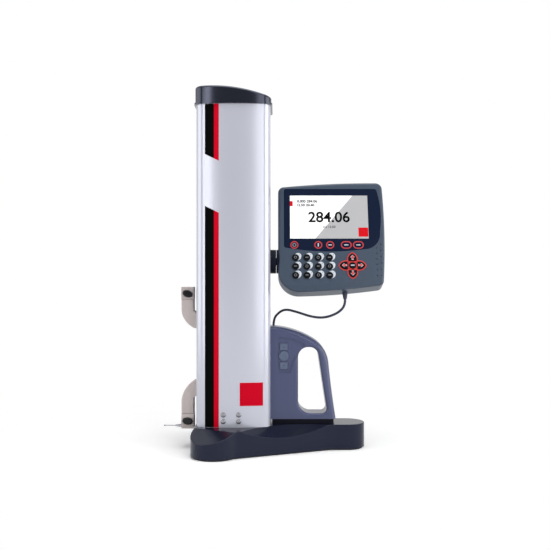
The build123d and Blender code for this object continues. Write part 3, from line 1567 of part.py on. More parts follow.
# Centre key and the four arrow keys round it
with BuildPart() as centre_key:
    with BuildSketch(console_plane.offset(key_proud)):
        with Locations(arrow_centre):
            Circle(centre_key_radius)
    extrude(amount=-(key_proud + key_depth))
    fillet(centre_key.edges().group_by(face_axis)[-1], key_round)
    with BuildSketch(console_plane.offset(-flange_face)):
        with Locations(arrow_centre):
            Circle(centre_key_radius + key_flange)
    extrude(amount=-key_flange_thickness)
centre_key.part.label = "centre_key"
export_step(centre_key.part, "parts/centre_key.step")

for direction, turn in arrow_turns.items():
    with BuildPart() as arrow_key:
        with BuildSketch(console_plane.offset(key_proud)):
            add(arrow_shape.rotate(Axis.Z, turn).moved(Location((*arrow_centre, 0))))
        extrude(amount=-(key_proud + key_depth))
        fillet(arrow_key.edges().group_by(face_axis)[-1], key_round)
        with BuildSketch(console_plane.offset(-flange_face)):
            add(arrow_flange_shape.rotate(Axis.Z, turn).moved(Location((*arrow_centre, 0))))
        extrude(amount=-key_flange_thickness)
    arrow_key.part.label = f"arrow_key_{direction}"
    export_step(arrow_key.part, f"parts/arrow_key_{direction}.step")

# Strain relief sleeve at the console's lower edge
sleeve_length = sleeve_collar_length + sleeve_cone_length
with BuildPart() as cable_sleeve:
    with BuildSketch(sleeve_plane):
        Circle(sleeve_flange_radius)
    extrude(amount=-sleeve_flange_thickness)
    with BuildSketch(sleeve_plane):
        Circle(sleeve_root_radius)
    extrude(amount=sleeve_collar_length)
    with BuildSketch(sleeve_plane.offset(sleeve_collar_length)):
        Circle(sleeve_root_radius)
    with BuildSketch(sleeve_plane.offset(sleeve_length)):
        Circle(sleeve_tip_radius)
    loft()
cable_sleeve.part.label = "cable_sleeve"
export_step(cable_sleeve.part, "parts/cable_sleeve.step")

# Elbow where the cable enters the column's side
with BuildPart() as cable_elbow:
    with BuildSketch(Plane(origin=(handle_root_x, elbow_y, elbow_z), z_dir=(1, 0, 0))):
        Circle(elbow_radius)
    extrude(amount=elbow_x - handle_root_x)
    with Locations((elbow_x, elbow_y, elbow_z)):
        Sphere(elbow_radius)
    with BuildSketch(Plane.XY.offset(elbow_z)):
        with Locations((elbow_x, elbow_y)):
            Circle(elbow_radius)
    with BuildSketch(Plane.XY.offset(elbow_top_z)):
        with Locations((elbow_x, elbow_y)):
            Circle(sleeve_tip_radius)
    loft()
cable_elbow.part.label = "cable_elbow"
export_step(cable_elbow.part, "parts/cable_elbow.step")


def bend_radii(points):
    """Radius of each corner of the route: as large as its two runs allow."""
    radii = []
    for before, corner, after in zip(points, points[1:], points[2:]):
        run_in = Vector(*corner) - Vector(*before)
        run_out = Vector(*after) - Vector(*corner)
        half_turn = math.radians(run_in.get_angle(run_out)) / 2
        radii.append(bend_share * min(run_in.length, run_out.length) / math.tan(half_turn))
    return radii


# Console cable
sleeve_tip = sleeve_plane.from_local_coords(Vector(0, 0, sleeve_length))
first_corner = sleeve_plane.from_local_coords(Vector(0, 0, sleeve_length + cable_first_run))
cable_points = (
    tuple(sleeve_tip),
    tuple(first_corner),
    *cable_way,
    (elbow_x, elbow_y, elbow_top_z),
)
cable_bends = bend_radii(cable_points)
with BuildPart() as console_cable:
    with BuildLine() as cable_route:
        FilletPolyline(*cable_points, radius=cable_bends)
    route = cable_route.wires()[0]
    with BuildSketch(Plane(origin=route @ 0, z_dir=route % 0)):
        Circle(cable_radius)
    sweep()
console_cable.part.label = "console_cable"
export_step(console_cable.part, "parts/console_cable.step")
route_length = cable_route.wires()[0].length
print("cable bends", [round(radius, 1) for radius in cable_bends])
print("cable length", round(route_length, 1))
print("cable volume", round(console_cable.part.volume), round(math.pi * cable_radius**2 * route_length))
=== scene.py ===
"""Looks of the height gauge: printed stripes, keypad legends, display picture, cable and studio.

Everything is in metres in the model's own frame: X right, Y away from the viewer, Z up.
"""

import json
import math

import bpy
from mathutils import Matrix, Vector


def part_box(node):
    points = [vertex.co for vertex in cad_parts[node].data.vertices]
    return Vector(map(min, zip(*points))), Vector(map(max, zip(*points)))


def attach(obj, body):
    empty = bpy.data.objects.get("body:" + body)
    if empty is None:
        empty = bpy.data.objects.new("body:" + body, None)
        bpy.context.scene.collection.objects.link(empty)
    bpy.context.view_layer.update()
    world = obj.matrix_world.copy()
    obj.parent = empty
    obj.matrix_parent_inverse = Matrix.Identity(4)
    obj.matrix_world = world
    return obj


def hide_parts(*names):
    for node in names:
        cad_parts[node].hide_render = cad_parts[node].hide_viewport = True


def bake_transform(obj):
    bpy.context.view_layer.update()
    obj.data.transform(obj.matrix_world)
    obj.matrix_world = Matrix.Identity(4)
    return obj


MM = 0.001

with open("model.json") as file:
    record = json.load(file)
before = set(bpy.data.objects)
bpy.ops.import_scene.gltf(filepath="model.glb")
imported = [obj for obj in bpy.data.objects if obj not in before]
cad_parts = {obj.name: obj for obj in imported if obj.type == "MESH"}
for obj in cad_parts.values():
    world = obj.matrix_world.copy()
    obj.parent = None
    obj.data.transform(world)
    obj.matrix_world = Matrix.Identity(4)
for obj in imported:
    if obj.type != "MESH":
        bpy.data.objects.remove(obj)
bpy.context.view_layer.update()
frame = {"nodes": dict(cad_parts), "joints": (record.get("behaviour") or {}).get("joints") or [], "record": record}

# Camera, solved from the photograph
FRAME_PIXELS = 550
FOCAL_PIXELS = 812.5
SENSOR_WIDTH = 36.0
HORIZON_PIXEL = 270.0
CAMERA_PLACE = (0.0675, -1.355, 0.2943)

# Column face
CROWN_RADIUS = 250 * MM
COLUMN_HALF_DEPTH = 55 * MM
PRINT_HEIGHT = 0.12 * MM
BLACK_STRIPE = (-45.0 * MM, -30.4 * MM)
RED_STRIPE = (-30.4 * MM, -22.5 * MM)
STRIPE_FOOT = 42.2 * MM
STRIPE_TOP = 560.8 * MM
UPPER_SLANT_AT_LEFT = 480.5 * MM
LOWER_SLANT_AT_LEFT = 397.3 * MM
SLANT_FALL = -0.5
LABEL_SPAN = (11.0 * MM, 48.3 * MM)
LABEL_FOOT = 76.5 * MM
LABEL_TOP = 113.8 * MM

# Console face, in its own plane and in millimetres: x along X, v up the face, height out of the face
LEAN = math.radians(18)
FACE_OUT = 17.9 * MM
FACE_DROP = -1.0 * MM
PRINT_LEVELS = (-0.02, 0.1)
PICTURE_LEVELS = (-0.02, 0.08)
PICTURE_MARK_LEVELS = (0.08, 0.12)
WEB_LEVELS = (-0.02, 0.5)
LETTER_LEVEL = 0.12
LETTER_HALF_THICKNESS = 0.05

# Number keys, row by row from the top
KEYPAD_X = (100.9, 119.3, 137.7, 156.1)
KEYPAD_V = (2.0, -13.15, -28.3)
KEY_HOLE_RADIUS = 5.9
KEY_TOP = 2.2
KEY_MARK_FOOT = KEY_TOP - 0.05
KEY_MARK_LEVELS = (KEY_MARK_FOOT, KEY_TOP + 0.08)
KEY_BAR_HALF = (2.6, 0.6)
KEY_RING_RADII = (2.3, 1.6)
SWOOSH = (
    (-0.8, 5.6), (1.6, 7.6), (5.4, 8.0), (8.6, 6.0),
    (9.6, 2.6), (8.4, -1.8), (5.0, -4.6), (3.0, -5.2),
)
SWOOSH_STEPS = 14
LEGENDS = "789045614230"
LEGEND_SHIFT = (7.0, 5.0)
LEGEND_SIZE = 3.2
LEGEND_BOLD = 0.02

# Touch keys on the glass
FUNCTION_RING_V = 24.0
FUNCTION_RING_X = (99.3, 138.4, 157.9)
FUNCTION_RING_RADIUS = 6.7
FUNCTION_OVAL_X = (184.3, 204.1)
FUNCTION_OVAL_HALF = (9.0, 6.6)
RING_WIDTH = 1.9
TOUCH_DOT_RADII = (3.2, 1.9)
TOUCH_BAR_HALF = (3.4, 0.7)
TOUCH_UPRIGHT_HALF = (0.9, 2.8)
TOUCH_LEVEL_HALF = (2.8, 0.7)

# Arrow keys round the centre key; the arrow's own outline points along -x
ARROW_CENTRE = (193.6, -11.6)
ARROW_INNER = (8.0, 6.4)
ARROW_MIDDLE = (15.0, 5.9)
ARROW_TIP = 20.8
ARROW_TURNS = {"right": 0, "up": 90, "left": 180, "down": 270}
ARROW_MARK = ((-4.6, 0), (0, 4.0), (0, 1.7), (4.6, 1.7), (4.6, -1.7), (0, -1.7), (0, -4.0))
ARROW_MARK_MIDDLE = 13.4
ARROW_MARK_SCALE = 0.72
ARROW_MARK_LEVELS = (KEY_MARK_FOOT, KEY_TOP + 0.14)
ARROW_HALO_SCALE = 1.2625 * ARROW_MARK_SCALE
ARROW_HALO_LEVELS = (KEY_MARK_FOOT, KEY_TOP + 0.06)
CENTRE_KEY_RADIUS = 5.4
CENTRE_BAR_HALF = (3.2, 0.8)
WEB_WIDTH = 2.0
WEB_GAP = 0.3

# Display picture
SCREEN_LEFT, SCREEN_FOOT = 92.3, 35.1
SCREEN_RIGHT, SCREEN_TOP = 221.5, 111.5
DIAGONAL_TOP_X = 196.5
DIAGONAL_FOOT_X = 133.8
SCREEN_TAB = ((92.3, 92.4), (97.0, 101.6))
SCREEN_SQUARE = ((205.0, 38.4), (221.0, 54.4))
READINGS = (
    ("screen_reading", "284.06", (157.0, 72.0), 25.5, 0.5),
    ("screen_small_reading", "0.000 284.06", (121.0, 101.0), 6.4, 0.2),
    ("screen_second_reading", "12.50 20.40", (118.0, 94.2), 6.4, 0.2),
    ("screen_foot_reading", "0.5 12.50", (157.0, 55.5), 5.6, 0.08),
)

# Marks on the handle's drive keys
HANDLE_MARK_HALF = 1.3 * MM
HANDLE_MARK_RISE = 0.12 * MM

# Console cable, the same route as the solid's
CABLE_DIAMETER = 4 * MM
CABLE_WAY = (
    (0.1755, -0.0305, 0.2285),
    (0.1630, -0.0270, 0.2205),
    (0.1460, -0.0200, 0.2155),
    (0.1270, -0.0090, 0.2170),
    (0.1050, 0.0030, 0.2240),
    (0.0860, 0.0120, 0.2285),
    (0.0750, 0.0210, 0.2235),
    (0.0650, 0.0290, 0.2115),
    (0.0650, 0.0290, 0.1985),
)
SLEEVE_X = 182.0
SLEEVE_TIP_V = -61.0
SLEEVE_DEPTH = -24.0
CABLE_FIRST_RUN = 9.0

# Surfaces
WHITE = (1.0, 1.0, 1.0, 1.0)
COOL = (0.72, 0.76, 1.0, 1.0)
COAT_ROUGHNESS = 0.12
GRAIN_SCALE = 900.0
GRAIN_DETAIL = 3.0
GRAIN_DEPTH = 0.0004

# Studio
FLOOR_REACH = 6.0
FLOOR_BOOST = 1.45
FLOOR_PLAIN = (240, 240, 242)
FLOOR_FADE = (0.12, 0.45)
SKY_STRENGTH = 0.22
FRONT_SKY = (-0.95, -0.35)
FRONT_SKY_STRENGTH = 0.45
LAMP_AIM = (0.0, 0.0, 0.3)

joints = {joint["name"]: joint for joint in frame["joints"]}
hinge = Vector(joints["console_tilt"]["pos_m"])
face_normal = Vector((0, -math.cos(LEAN), math.sin(LEAN)))
face_up = Vector((0, math.sin(LEAN), math.cos(LEAN)))
face_origin = Vector((0, hinge.y, hinge.z)) + FACE_OUT * face_normal + FACE_DROP * face_up
face_matrix = Matrix(
    (
        (MM, 0, 0, face_origin.x),
        (0, face_up.y * MM, face_normal.y * MM, face_origin.y),
        (0, face_up.z * MM, face_normal.z * MM, face_origin.z),
        (0, 0, 0, 1),
    )
)


def linear(*rgb):
    """Linear colour from display values of 0 to 255."""
    return tuple(((c / 255 + 0.055) / 1.055) ** 2.4 if c > 10 else c / 255 / 12.92 for c in rgb) + (1.0,)


def material(name, rgb, roughness=0.5, metallic=0.0, coat=0.0, grain=0.0, shine=0.5, glow=0.0, tint=WHITE):
    """Plain surface, with a fine bump where grain is set."""
    made = bpy.data.materials.new(name)
    made.use_nodes = True
    tree = made.node_tree
    shader = tree.nodes["Principled BSDF"]
    shader.inputs["Base Color"].default_value = linear(*rgb)
    shader.inputs["Roughness"].default_value = roughness
    shader.inputs["Metallic"].default_value = metallic
    shader.inputs["Coat Weight"].default_value = coat
    shader.inputs["Coat Roughness"].default_value = COAT_ROUGHNESS
    shader.inputs["Specular IOR Level"].default_value = shine
    shader.inputs["Specular Tint"].default_value = tint
    shader.inputs["Emission Color"].default_value = linear(*rgb)
    shader.inputs["Emission Strength"].default_value = glow
    if grain:
        place = tree.nodes.new("ShaderNodeTexCoord")
        noise = tree.nodes.new("ShaderNodeTexNoise")
        noise.inputs["Scale"].default_value = GRAIN_SCALE
        noise.inputs["Detail"].default_value = GRAIN_DETAIL
        bump = tree.nodes.new("ShaderNodeBump")
        bump.inputs["Strength"].default_value = grain
        bump.inputs["Distance"].default_value = GRAIN_DEPTH
        tree.links.new(place.outputs["Object"], noise.inputs["Vector"])
        tree.links.new(noise.outputs["Fac"], bump.inputs["Height"])
        tree.links.new(bump.outputs["Normal"], shader.inputs["Normal"])
    return made


slot_materials = {
    "base_paint": material("base_paint", (26, 30, 46), 0.22, shine=0.28, tint=COOL),
    "black_rubber": material("black_rubber", (22, 22, 26), 0.7),
    "zinc_steel": material("zinc_steel", (150, 151, 156), 0.24, metallic=1.0),
    "column_paint": material("column_paint", (203, 205, 217), 0.22, metallic=0.3, shine=0.4),
    "cap_plastic": material("cap_plastic", (4, 6, 18), 0.14, shine=0.7, tint=COOL),
    "raw_aluminium": material("raw_aluminium", (196, 198, 202), 0.35, metallic=1.0),
    "bracket_alloy": material("bracket_alloy", (206, 195, 192), 0.5, metallic=0.1, grain=0.06, shine=0.3),
    "belt_rubber": material("belt_rubber", (24, 24, 26), 0.75),
    "scale_glass": material("scale_glass", (190, 200, 200), 0.15),
    "sensor_plastic": material("sensor_plastic", (36, 36, 42), 0.5),
    "board_green": material("board_green", (30, 92, 54), 0.45),
    "knob_black": material("knob_black", (10, 10, 16), 0.16, shine=0.3),
    "ruby": material("ruby", (110, 20, 34), 0.1, coat=0.8),
    "handle_plastic": material("handle_plastic", (75, 82, 116), 0.24, shine=0.42, grain=0.03),
    "foot_plastic": material("foot_plastic", (18, 19, 30), 0.4, shine=0.08),
    "pivot_dark": material("pivot_dark", (16, 20, 34), 0.5, shine=0.08),
    "console_plastic": material("console_plastic", (64, 77, 94), 0.32, shine=0.3, grain=0.03),
    "dark_glass": material("dark_glass", (18, 30, 54), 0.1, shine=0.1),
    "display": material("display", (120, 124, 132), 0.3),
    "key_plastic": material("key_plastic", (8, 9, 14), 0.3, shine=0.12),
    "arrow_black": material("arrow_black", (10, 12, 20), 0.3, shine=0.12),
    "handle_key_grey": material("handle_key_grey", (96, 108, 132), 0.38, shine=0.3),
    "cable_black": material("cable_black", (50, 54, 74), 0.4, shine=0.3),
}
mark_dark = material("mark_dark", (58, 66, 84), 0.4)
print_black = material("print_black", (3, 4, 4), 0.5, shine=0.03)
print_red = material("print_red", (214, 6, 38), 0.5, shine=0.04)
print_white = material("print_white", (222, 228, 236), 0.4, shine=0.2)
print_soft = material("print_soft", (128, 134, 142), 0.4)
print_grey = material("print_grey", (190, 190, 192), 0.4, shine=0.2)
screen_white = material("screen_white", (252, 252, 252), 0.35, glow=0.25)
ring_red = material("ring_red", (190, 44, 50), 0.4)
web_red = material("web_red", (220, 50, 48), 0.4)
screen_red = material("screen_red", (220, 16, 30), 0.4, shine=0.1)

for subpart in frame["record"]["subparts"]:
    node = frame["nodes"][subpart["node"]]
    for node_slot in node.material_slots:
        node_slot.material = slot_materials[subpart["material_slot"]]


def dress(piece, look, body):
    """Gives a new piece its material and its body."""
    piece.data.materials.append(look)
    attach(piece, body)


def solid_from_loops(name, loops, endless=False):
    """Closed mesh through loops of equally many points; endless joins the last loop to the first."""
    count = len(loops[0])
    vertices = [point for loop in loops for point in loop]
    faces = []
    for level in range(len(loops) if endless else len(loops) - 1):
        low, high = level * count, (level + 1) % len(loops) * count
        for i in range(count):
            j = (i + 1) % count
            faces.append((low + i, low + j, high + j, high + i))
    if not endless:
        faces.append(tuple(reversed(range(count))))
        faces.append(tuple(range((len(loops) - 1) * count, len(loops) * count)))
    mesh = bpy.data.meshes.new(name)
    mesh.from_pydata(vertices, [], faces)
    mesh.validate()
    piece = bpy.data.objects.new(name, mesh)
    bpy.context.scene.collection.objects.link(piece)
    return piece


def face_plate(name, outline, low, high):
    """Flat closed plate on the console's face, between two heights in millimetres."""
    loops = [[face_matrix @ Vector((x, v, height)) for x, v in outline] for height in (low, high)]
    return solid_from_loops(name, loops)


def face_ring(name, outer, inner, low, high):
    """Flat closed ring on the console's face."""
    edges = ((outer, low), (outer, high), (inner, high), (inner, low))
    loops = [[face_matrix @ Vector((x, v, height)) for x, v in outline] for outline, height in edges]
    return solid_from_loops(name, loops, endless=True)


def round_outline(middle, radius, steps=40):
    """Circle round a middle."""
    turns = [2 * math.pi * i / steps for i in range(steps)]
    return [(middle[0] + radius * math.cos(turn), middle[1] + radius * math.sin(turn)) for turn in turns]


def stadium_outline(middle, half_width, half_height, steps=12):
    """Long rounded outline with half-round ends."""
    reach = half_width - half_height
    points = []
    for side, start in ((1, -90), (-1, 90)):
        for i in range(steps + 1):
            angle = math.radians(start + 180 * i / steps)
            points.append(
                (
                    middle[0] + side * reach + half_height * math.cos(angle),
                    middle[1] + half_height * math.sin(angle),
                )
            )
    return points


def round_ring(name, middle, outer_radius, inner_radius, levels):
    """Flat ring between two circles."""
    outer, inner = round_outline(middle, outer_radius), round_outline(middle, inner_radius)
    return face_ring(name, outer, inner, *levels)


def rectangle(low, high):
    """Corners of an upright rectangle."""
    return ((low[0], low[1]), (high[0], low[1]), (high[0], high[1]), (low[0], high[1]))


def bar_outline(middle, half_width, half_height):
    """Corners of an upright rectangle round a middle."""
    x, v = middle
    return rectangle((x - half_width, v - half_height), (x + half_width, v + half_height))


def arc_through(a, b, c, steps):
    """Points of the circular arc from a through b to c."""
    d = 2 * (a[0] * (b[1] - c[1]) + b[0] * (c[1] - a[1]) + c[0] * (a[1] - b[1]))
    squares = [p[0] ** 2 + p[1] ** 2 for p in (a, b, c)]
    ux = (squares[0] * (b[1] - c[1]) + squares[1] * (c[1] - a[1]) + squares[2] * (a[1] - b[1])) / d
    uy = (squares[0] * (c[0] - b[0]) + squares[1] * (a[0] - c[0]) + squares[2] * (b[0] - a[0])) / d
    radius = math.hypot(a[0] - ux, a[1] - uy)
    first = math.atan2(a[1] - uy, a[0] - ux)
    last = math.atan2(c[1] - uy, c[0] - ux)
    sweep = (last - first + math.pi) % (2 * math.pi) - math.pi
    return [
        (ux + radius * math.cos(first + sweep * i / steps), uy + radius * math.sin(first + sweep * i / steps))
        for i in range(steps + 1)
    ]


def arrow_key_outline(growth, steps=14):
    """Outline of an arrow key that points along x, round the pad's centre, larger by growth."""
    inner_x, inner_y = ARROW_INNER
    upper = arc_through((inner_x, inner_y), ARROW_MIDDLE, (ARROW_TIP, 0), steps)
    lower = [(x, -y) for x, y in reversed(upper[:-1])]
    outline = upper + lower
    middle_x = (inner_x + ARROW_TIP) / 2
    grown = []
    for i, (x, y) in enumerate(outline):
        before, after = outline[i - 1], outline[(i + 1) % len(outline)]
        along = Vector((after[0] - before[0], after[1] - before[1])).normalized()
        out = Vector((along.y, -along.x))
        if out.dot(Vector((x - middle_x, y))) < 0:
            out.negate()
        grown.append((x + out.x * growth, y + out.y * growth))
    return grown


def turned(outline, degrees, middle):
    """Outline turned about the origin and then moved to a middle."""
    c, s = math.cos(math.radians(degrees)), math.sin(math.radians(degrees))
    return [(middle[0] + x * c - y * s, middle[1] + x * s + y * c) for x, y in outline]


def spline_value(t, before, start, end, after):
    """Value between start and end at t from 0 to 1, smooth with both neighbours."""
    slope = end - before
    square = 2 * before - 5 * start + 4 * end - after
    cube = 3 * start - before - 3 * end + after
    return 0.5 * (2 * start + slope * t + square * t**2 + cube * t**3)


def smoothed(corners, steps=6):
    """Smooth line through corners, ends included."""
    ends = [corners[0], *corners, corners[-1]]
    line = []
    for around in zip(ends, ends[1:], ends[2:], ends[3:]):
        for i in range(steps):
            line.append(tuple(spline_value(i / steps, *values) for values in zip(*around)))
    return line + [corners[-1]]


def crown_y(x):
    """Front face of the column at x."""
    return -(COLUMN_HALF_DEPTH - CROWN_RADIUS + math.sqrt(CROWN_RADIUS**2 - x**2))


def crown_patch(name, span, low, high, steps=8):
    """Thin closed print on the column's crowned face; low and high give its edges at x."""
    loops = []
    for i in range(steps + 1):
        x = span[0] + (span[1] - span[0]) * i / steps
        front, back = crown_y(x) - PRINT_HEIGHT, crown_y(x) + PRINT_HEIGHT
        loops.append([(x, front, low(x)), (x, front, high(x)), (x, back, high(x)), (x, back, low(x))])
    return solid_from_loops(name, loops)


def level(height):
    """Edge of a print at one height."""
    return lambda x: height


def slant(height_at_left):
    """Edge of a print that falls to the right, from its height at the black stripe's left."""
    return lambda x: height_at_left + SLANT_FALL * (x - BLACK_STRIPE[0])


def lettering(name, text, middle, size, look, bold):
    """Raised numerals on the console's face, centred on a point; sizes in millimetres."""
    curve = bpy.data.curves.new(name, "FONT")
    curve.body = text
    curve.size = size
    curve.align_x = "CENTER"
    curve.align_y = "CENTER"
    curve.extrude = LETTER_HALF_THICKNESS
    curve.offset = bold
    piece = bpy.data.objects.new(name, curve)
    bpy.context.scene.collection.objects.link(piece)
    piece.matrix_world = face_matrix @ Matrix.Translation((middle[0], middle[1], LETTER_LEVEL))
    dress(piece, look, "console")


# Stripes and the bare red square on the column
for colour, span, look in (("black", BLACK_STRIPE, print_black), ("red", RED_STRIPE, print_red)):
    for part, low, high in (
        ("upper", slant(UPPER_SLANT_AT_LEFT), level(STRIPE_TOP)),
        ("lower", level(STRIPE_FOOT), slant(LOWER_SLANT_AT_LEFT)),
    ):
        dress(crown_patch(f"stripe_{colour}_{part}", span, low, high), look, "stand")
column_square = crown_patch("column_square", LABEL_SPAN, level(LABEL_FOOT), level(LABEL_TOP))
dress(column_square, print_red, "stand")

# Display picture: white and grey fields, a red tab, a red square and plain readings
white_field = (
    (SCREEN_LEFT, SCREEN_FOOT), (DIAGONAL_FOOT_X, SCREEN_FOOT),
    (DIAGONAL_TOP_X, SCREEN_TOP), (SCREEN_LEFT, SCREEN_TOP),
)
grey_field = (
    (DIAGONAL_FOOT_X, SCREEN_FOOT), (SCREEN_RIGHT, SCREEN_FOOT),
    (SCREEN_RIGHT, SCREEN_TOP), (DIAGONAL_TOP_X, SCREEN_TOP),
)
for name, outline, levels, look in (
    ("screen_white_field", white_field, PICTURE_LEVELS, screen_white),
    ("screen_grey_field", grey_field, PICTURE_LEVELS, print_grey),
    ("screen_tab", rectangle(*SCREEN_TAB), PICTURE_MARK_LEVELS, screen_red),
    ("screen_square", rectangle(*SCREEN_SQUARE), PICTURE_MARK_LEVELS, screen_red),
):
    dress(face_plate(name, outline, *levels), look, "console")
for name, text, middle, size, bold in READINGS:
    lettering(name, text, middle, size, print_black, bold)

# Rings of the touch keys on the glass, with plain marks inside
ring_middles = [(x, FUNCTION_RING_V) for x in FUNCTION_RING_X]
for index, middle in enumerate(ring_middles, start=1):
    ring = round_ring(
        f"touch_ring_{index}", middle, FUNCTION_RING_RADIUS, FUNCTION_RING_RADIUS - RING_WIDTH, PRINT_LEVELS
    )
    dress(ring, ring_red, "console")
for index, x in enumerate(FUNCTION_OVAL_X, start=1):
    middle = (x, FUNCTION_RING_V)
    half_width, half_height = FUNCTION_OVAL_HALF
    outer = stadium_outline(middle, half_width, half_height)
    inner = stadium_outline(middle, half_width - RING_WIDTH, half_height - RING_WIDTH)
    dress(face_ring(f"touch_oval_{index}", outer, inner, *PRINT_LEVELS), ring_red, "console")
    bar = face_plate(f"touch_bar_{index}", bar_outline(middle, *TOUCH_BAR_HALF), *PRINT_LEVELS)
    dress(bar, print_white, "console")
round_mark = round_ring("touch_mark_round", ring_middles[0], *TOUCH_DOT_RADII, PRINT_LEVELS)
dress(round_mark, print_soft, "console")
for name, middle, half in (
    ("touch_mark_upright", ring_middles[1], TOUCH_UPRIGHT_HALF),
    ("touch_mark_level", ring_middles[2], TOUCH_LEVEL_HALF),
):
    dress(face_plate(name, bar_outline(middle, *half), *PRINT_LEVELS), print_white, "console")

# Pale swooshes round the number keys, each with its numeral, and bars and rings in turn on the keys
first_turn = math.atan2(SWOOSH[0][1], SWOOSH[0][0])
last_turn = math.atan2(SWOOSH[-1][1], SWOOSH[-1][0])
swoosh_turns = [last_turn + (first_turn - last_turn) * i / SWOOSH_STEPS for i in range(SWOOSH_STEPS + 1)]
hole_side = [(KEY_HOLE_RADIUS * math.cos(turn), KEY_HOLE_RADIUS * math.sin(turn)) for turn in swoosh_turns]
swoosh = smoothed(SWOOSH) + hole_side
for row, v in enumerate(KEYPAD_V):
    for column, x in enumerate(KEYPAD_X):
        key = f"r{row + 1}c{column + 1}"
        outline = [(x + px, v + pv) for px, pv in swoosh]
        disc = face_plate(f"key_disc_{key}", outline, *PRINT_LEVELS)
        dress(disc, print_white, "console")
        legend = LEGENDS[row * len(KEYPAD_X) + column]
        legend_middle = (x + LEGEND_SHIFT[0], v + LEGEND_SHIFT[1])
        lettering(
            f"key_legend_{key}", legend, legend_middle, LEGEND_SIZE,
            print_soft, LEGEND_BOLD,
        )
        if (row + column) % 2:
            mark = face_plate(f"key_mark_{key}", stadium_outline((x, v), *KEY_BAR_HALF), *KEY_MARK_LEVELS)
        else:
            mark = round_ring(f"key_mark_{key}", (x, v), *KEY_RING_RADII, KEY_MARK_LEVELS)
        dress(mark, print_soft, f"key_{key}")

# Small marks on the two drive keys of the handle
for drive_key, side in (("handle_key_up", 1), ("handle_key_down", -1)):
    low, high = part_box(drive_key)
    mark_x, mark_z = (low[0] + high[0]) / 2, (low[2] + high[2]) / 2
    corners = (
        (mark_x - HANDLE_MARK_HALF, mark_z - side * HANDLE_MARK_HALF),
        (mark_x + HANDLE_MARK_HALF, mark_z - side * HANDLE_MARK_HALF),
        (mark_x, mark_z + side * HANDLE_MARK_HALF),
    )
    loops = [[(x, y, z) for x, z in corners] for y in (low[1] - HANDLE_MARK_RISE, low[1] + HANDLE_MARK_RISE)]
    dress(solid_from_loops(f"{drive_key}_mark", loops), mark_dark, drive_key)

# Red web round the arrow keys and the centre key, and the marks on these keys
for direction, turn in ARROW_TURNS.items():
    outer = turned(arrow_key_outline(WEB_WIDTH), turn, ARROW_CENTRE)
    inner = turned(arrow_key_outline(WEB_GAP), turn, ARROW_CENTRE)
    web = face_ring(f"arrow_web_{direction}", outer, inner, *WEB_LEVELS)
    dress(web, web_red, "console")
    for kind, look, scale, levels in (
        ("halo", print_white, ARROW_HALO_SCALE, ARROW_HALO_LEVELS),
        ("mark", web_red, ARROW_MARK_SCALE, ARROW_MARK_LEVELS),
    ):
        arrow = [(ARROW_MARK_MIDDLE - px * scale, pv * scale) for px, pv in ARROW_MARK]
        piece = face_plate(f"arrow_{kind}_{direction}", turned(arrow, turn, ARROW_CENTRE), *levels)
        dress(piece, look, f"arrow_key_{direction}")
centre_web = round_ring(
    "arrow_web_centre", ARROW_CENTRE, CENTRE_KEY_RADIUS + WEB_WIDTH, CENTRE_KEY_RADIUS + WEB_GAP, WEB_LEVELS
)
dress(centre_web, web_red, "console")
centre_mark = face_plate("centre_key_mark", stadium_outline(ARROW_CENTRE, *CENTRE_BAR_HALF), *KEY_MARK_LEVELS)
dress(centre_mark, print_white, "centre_key")

# Console cable: the solid's own route, smoothed
sleeve_tip = face_matrix @ Vector((SLEEVE_X, SLEEVE_TIP_V, SLEEVE_DEPTH))
first_corner = face_matrix @ Vector((SLEEVE_X, SLEEVE_TIP_V - CABLE_FIRST_RUN, SLEEVE_DEPTH))
cable_points = [tuple(sleeve_tip), tuple(first_corner), *CABLE_WAY]
cable_curve = bpy.data.curves.new("cable_route", "CURVE")
cable_curve.dimensions = "3D"
spline = cable_curve.splines.new("NURBS")
spline.points.add(len(cable_points) - 1)
for control, point in zip(spline.points, cable_points):
    control.co = (*point, 1.0)
spline.order_u = 3
spline.use_endpoint_u = True
spline.resolution_u = 12
cable_route = bpy.data.objects.new("cable_route", cable_curve)
bpy.context.scene.collection.objects.link(cable_route)
bpy.context.view_layer.update()
cable_line = [tuple(vertex.co) for vertex in bpy.data.meshes.new_from_object(cable_route).vertices]
cable_curve.bevel_depth = CABLE_DIAMETER / 2
cable_curve.bevel_resolution = 4
cable_curve.use_fill_caps = True
bpy.context.view_layer.update()
cable = bpy.data.objects.new("console_cable_sheath", bpy.data.meshes.new_from_object(cable_route))
bpy.data.objects.remove(cable_route)
bpy.context.scene.collection.objects.link(cable)
cable.data.materials.clear()
cable.data.materials.append(slot_materials["cable_black"])
for polygon in cable.data.polygons:
    polygon.use_smooth = True
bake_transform(cable)
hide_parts("console_cable")


def seen_directly(tree):
    """Output that is 1 for camera, glossy and transmission rays."""
    path = tree.nodes.new("ShaderNodeLightPath")
    total = path.outputs["Is Camera Ray"]
    for kind in ("Is Glossy Ray", "Is Transmission Ray"):
        larger = tree.nodes.new("ShaderNodeMath")
        larger.operation = "MAXIMUM"
        tree.links.new(total, larger.inputs[0])
        tree.links.new(path.outputs[kind], larger.inputs[1])
        total = larger.outputs[0]
    return total


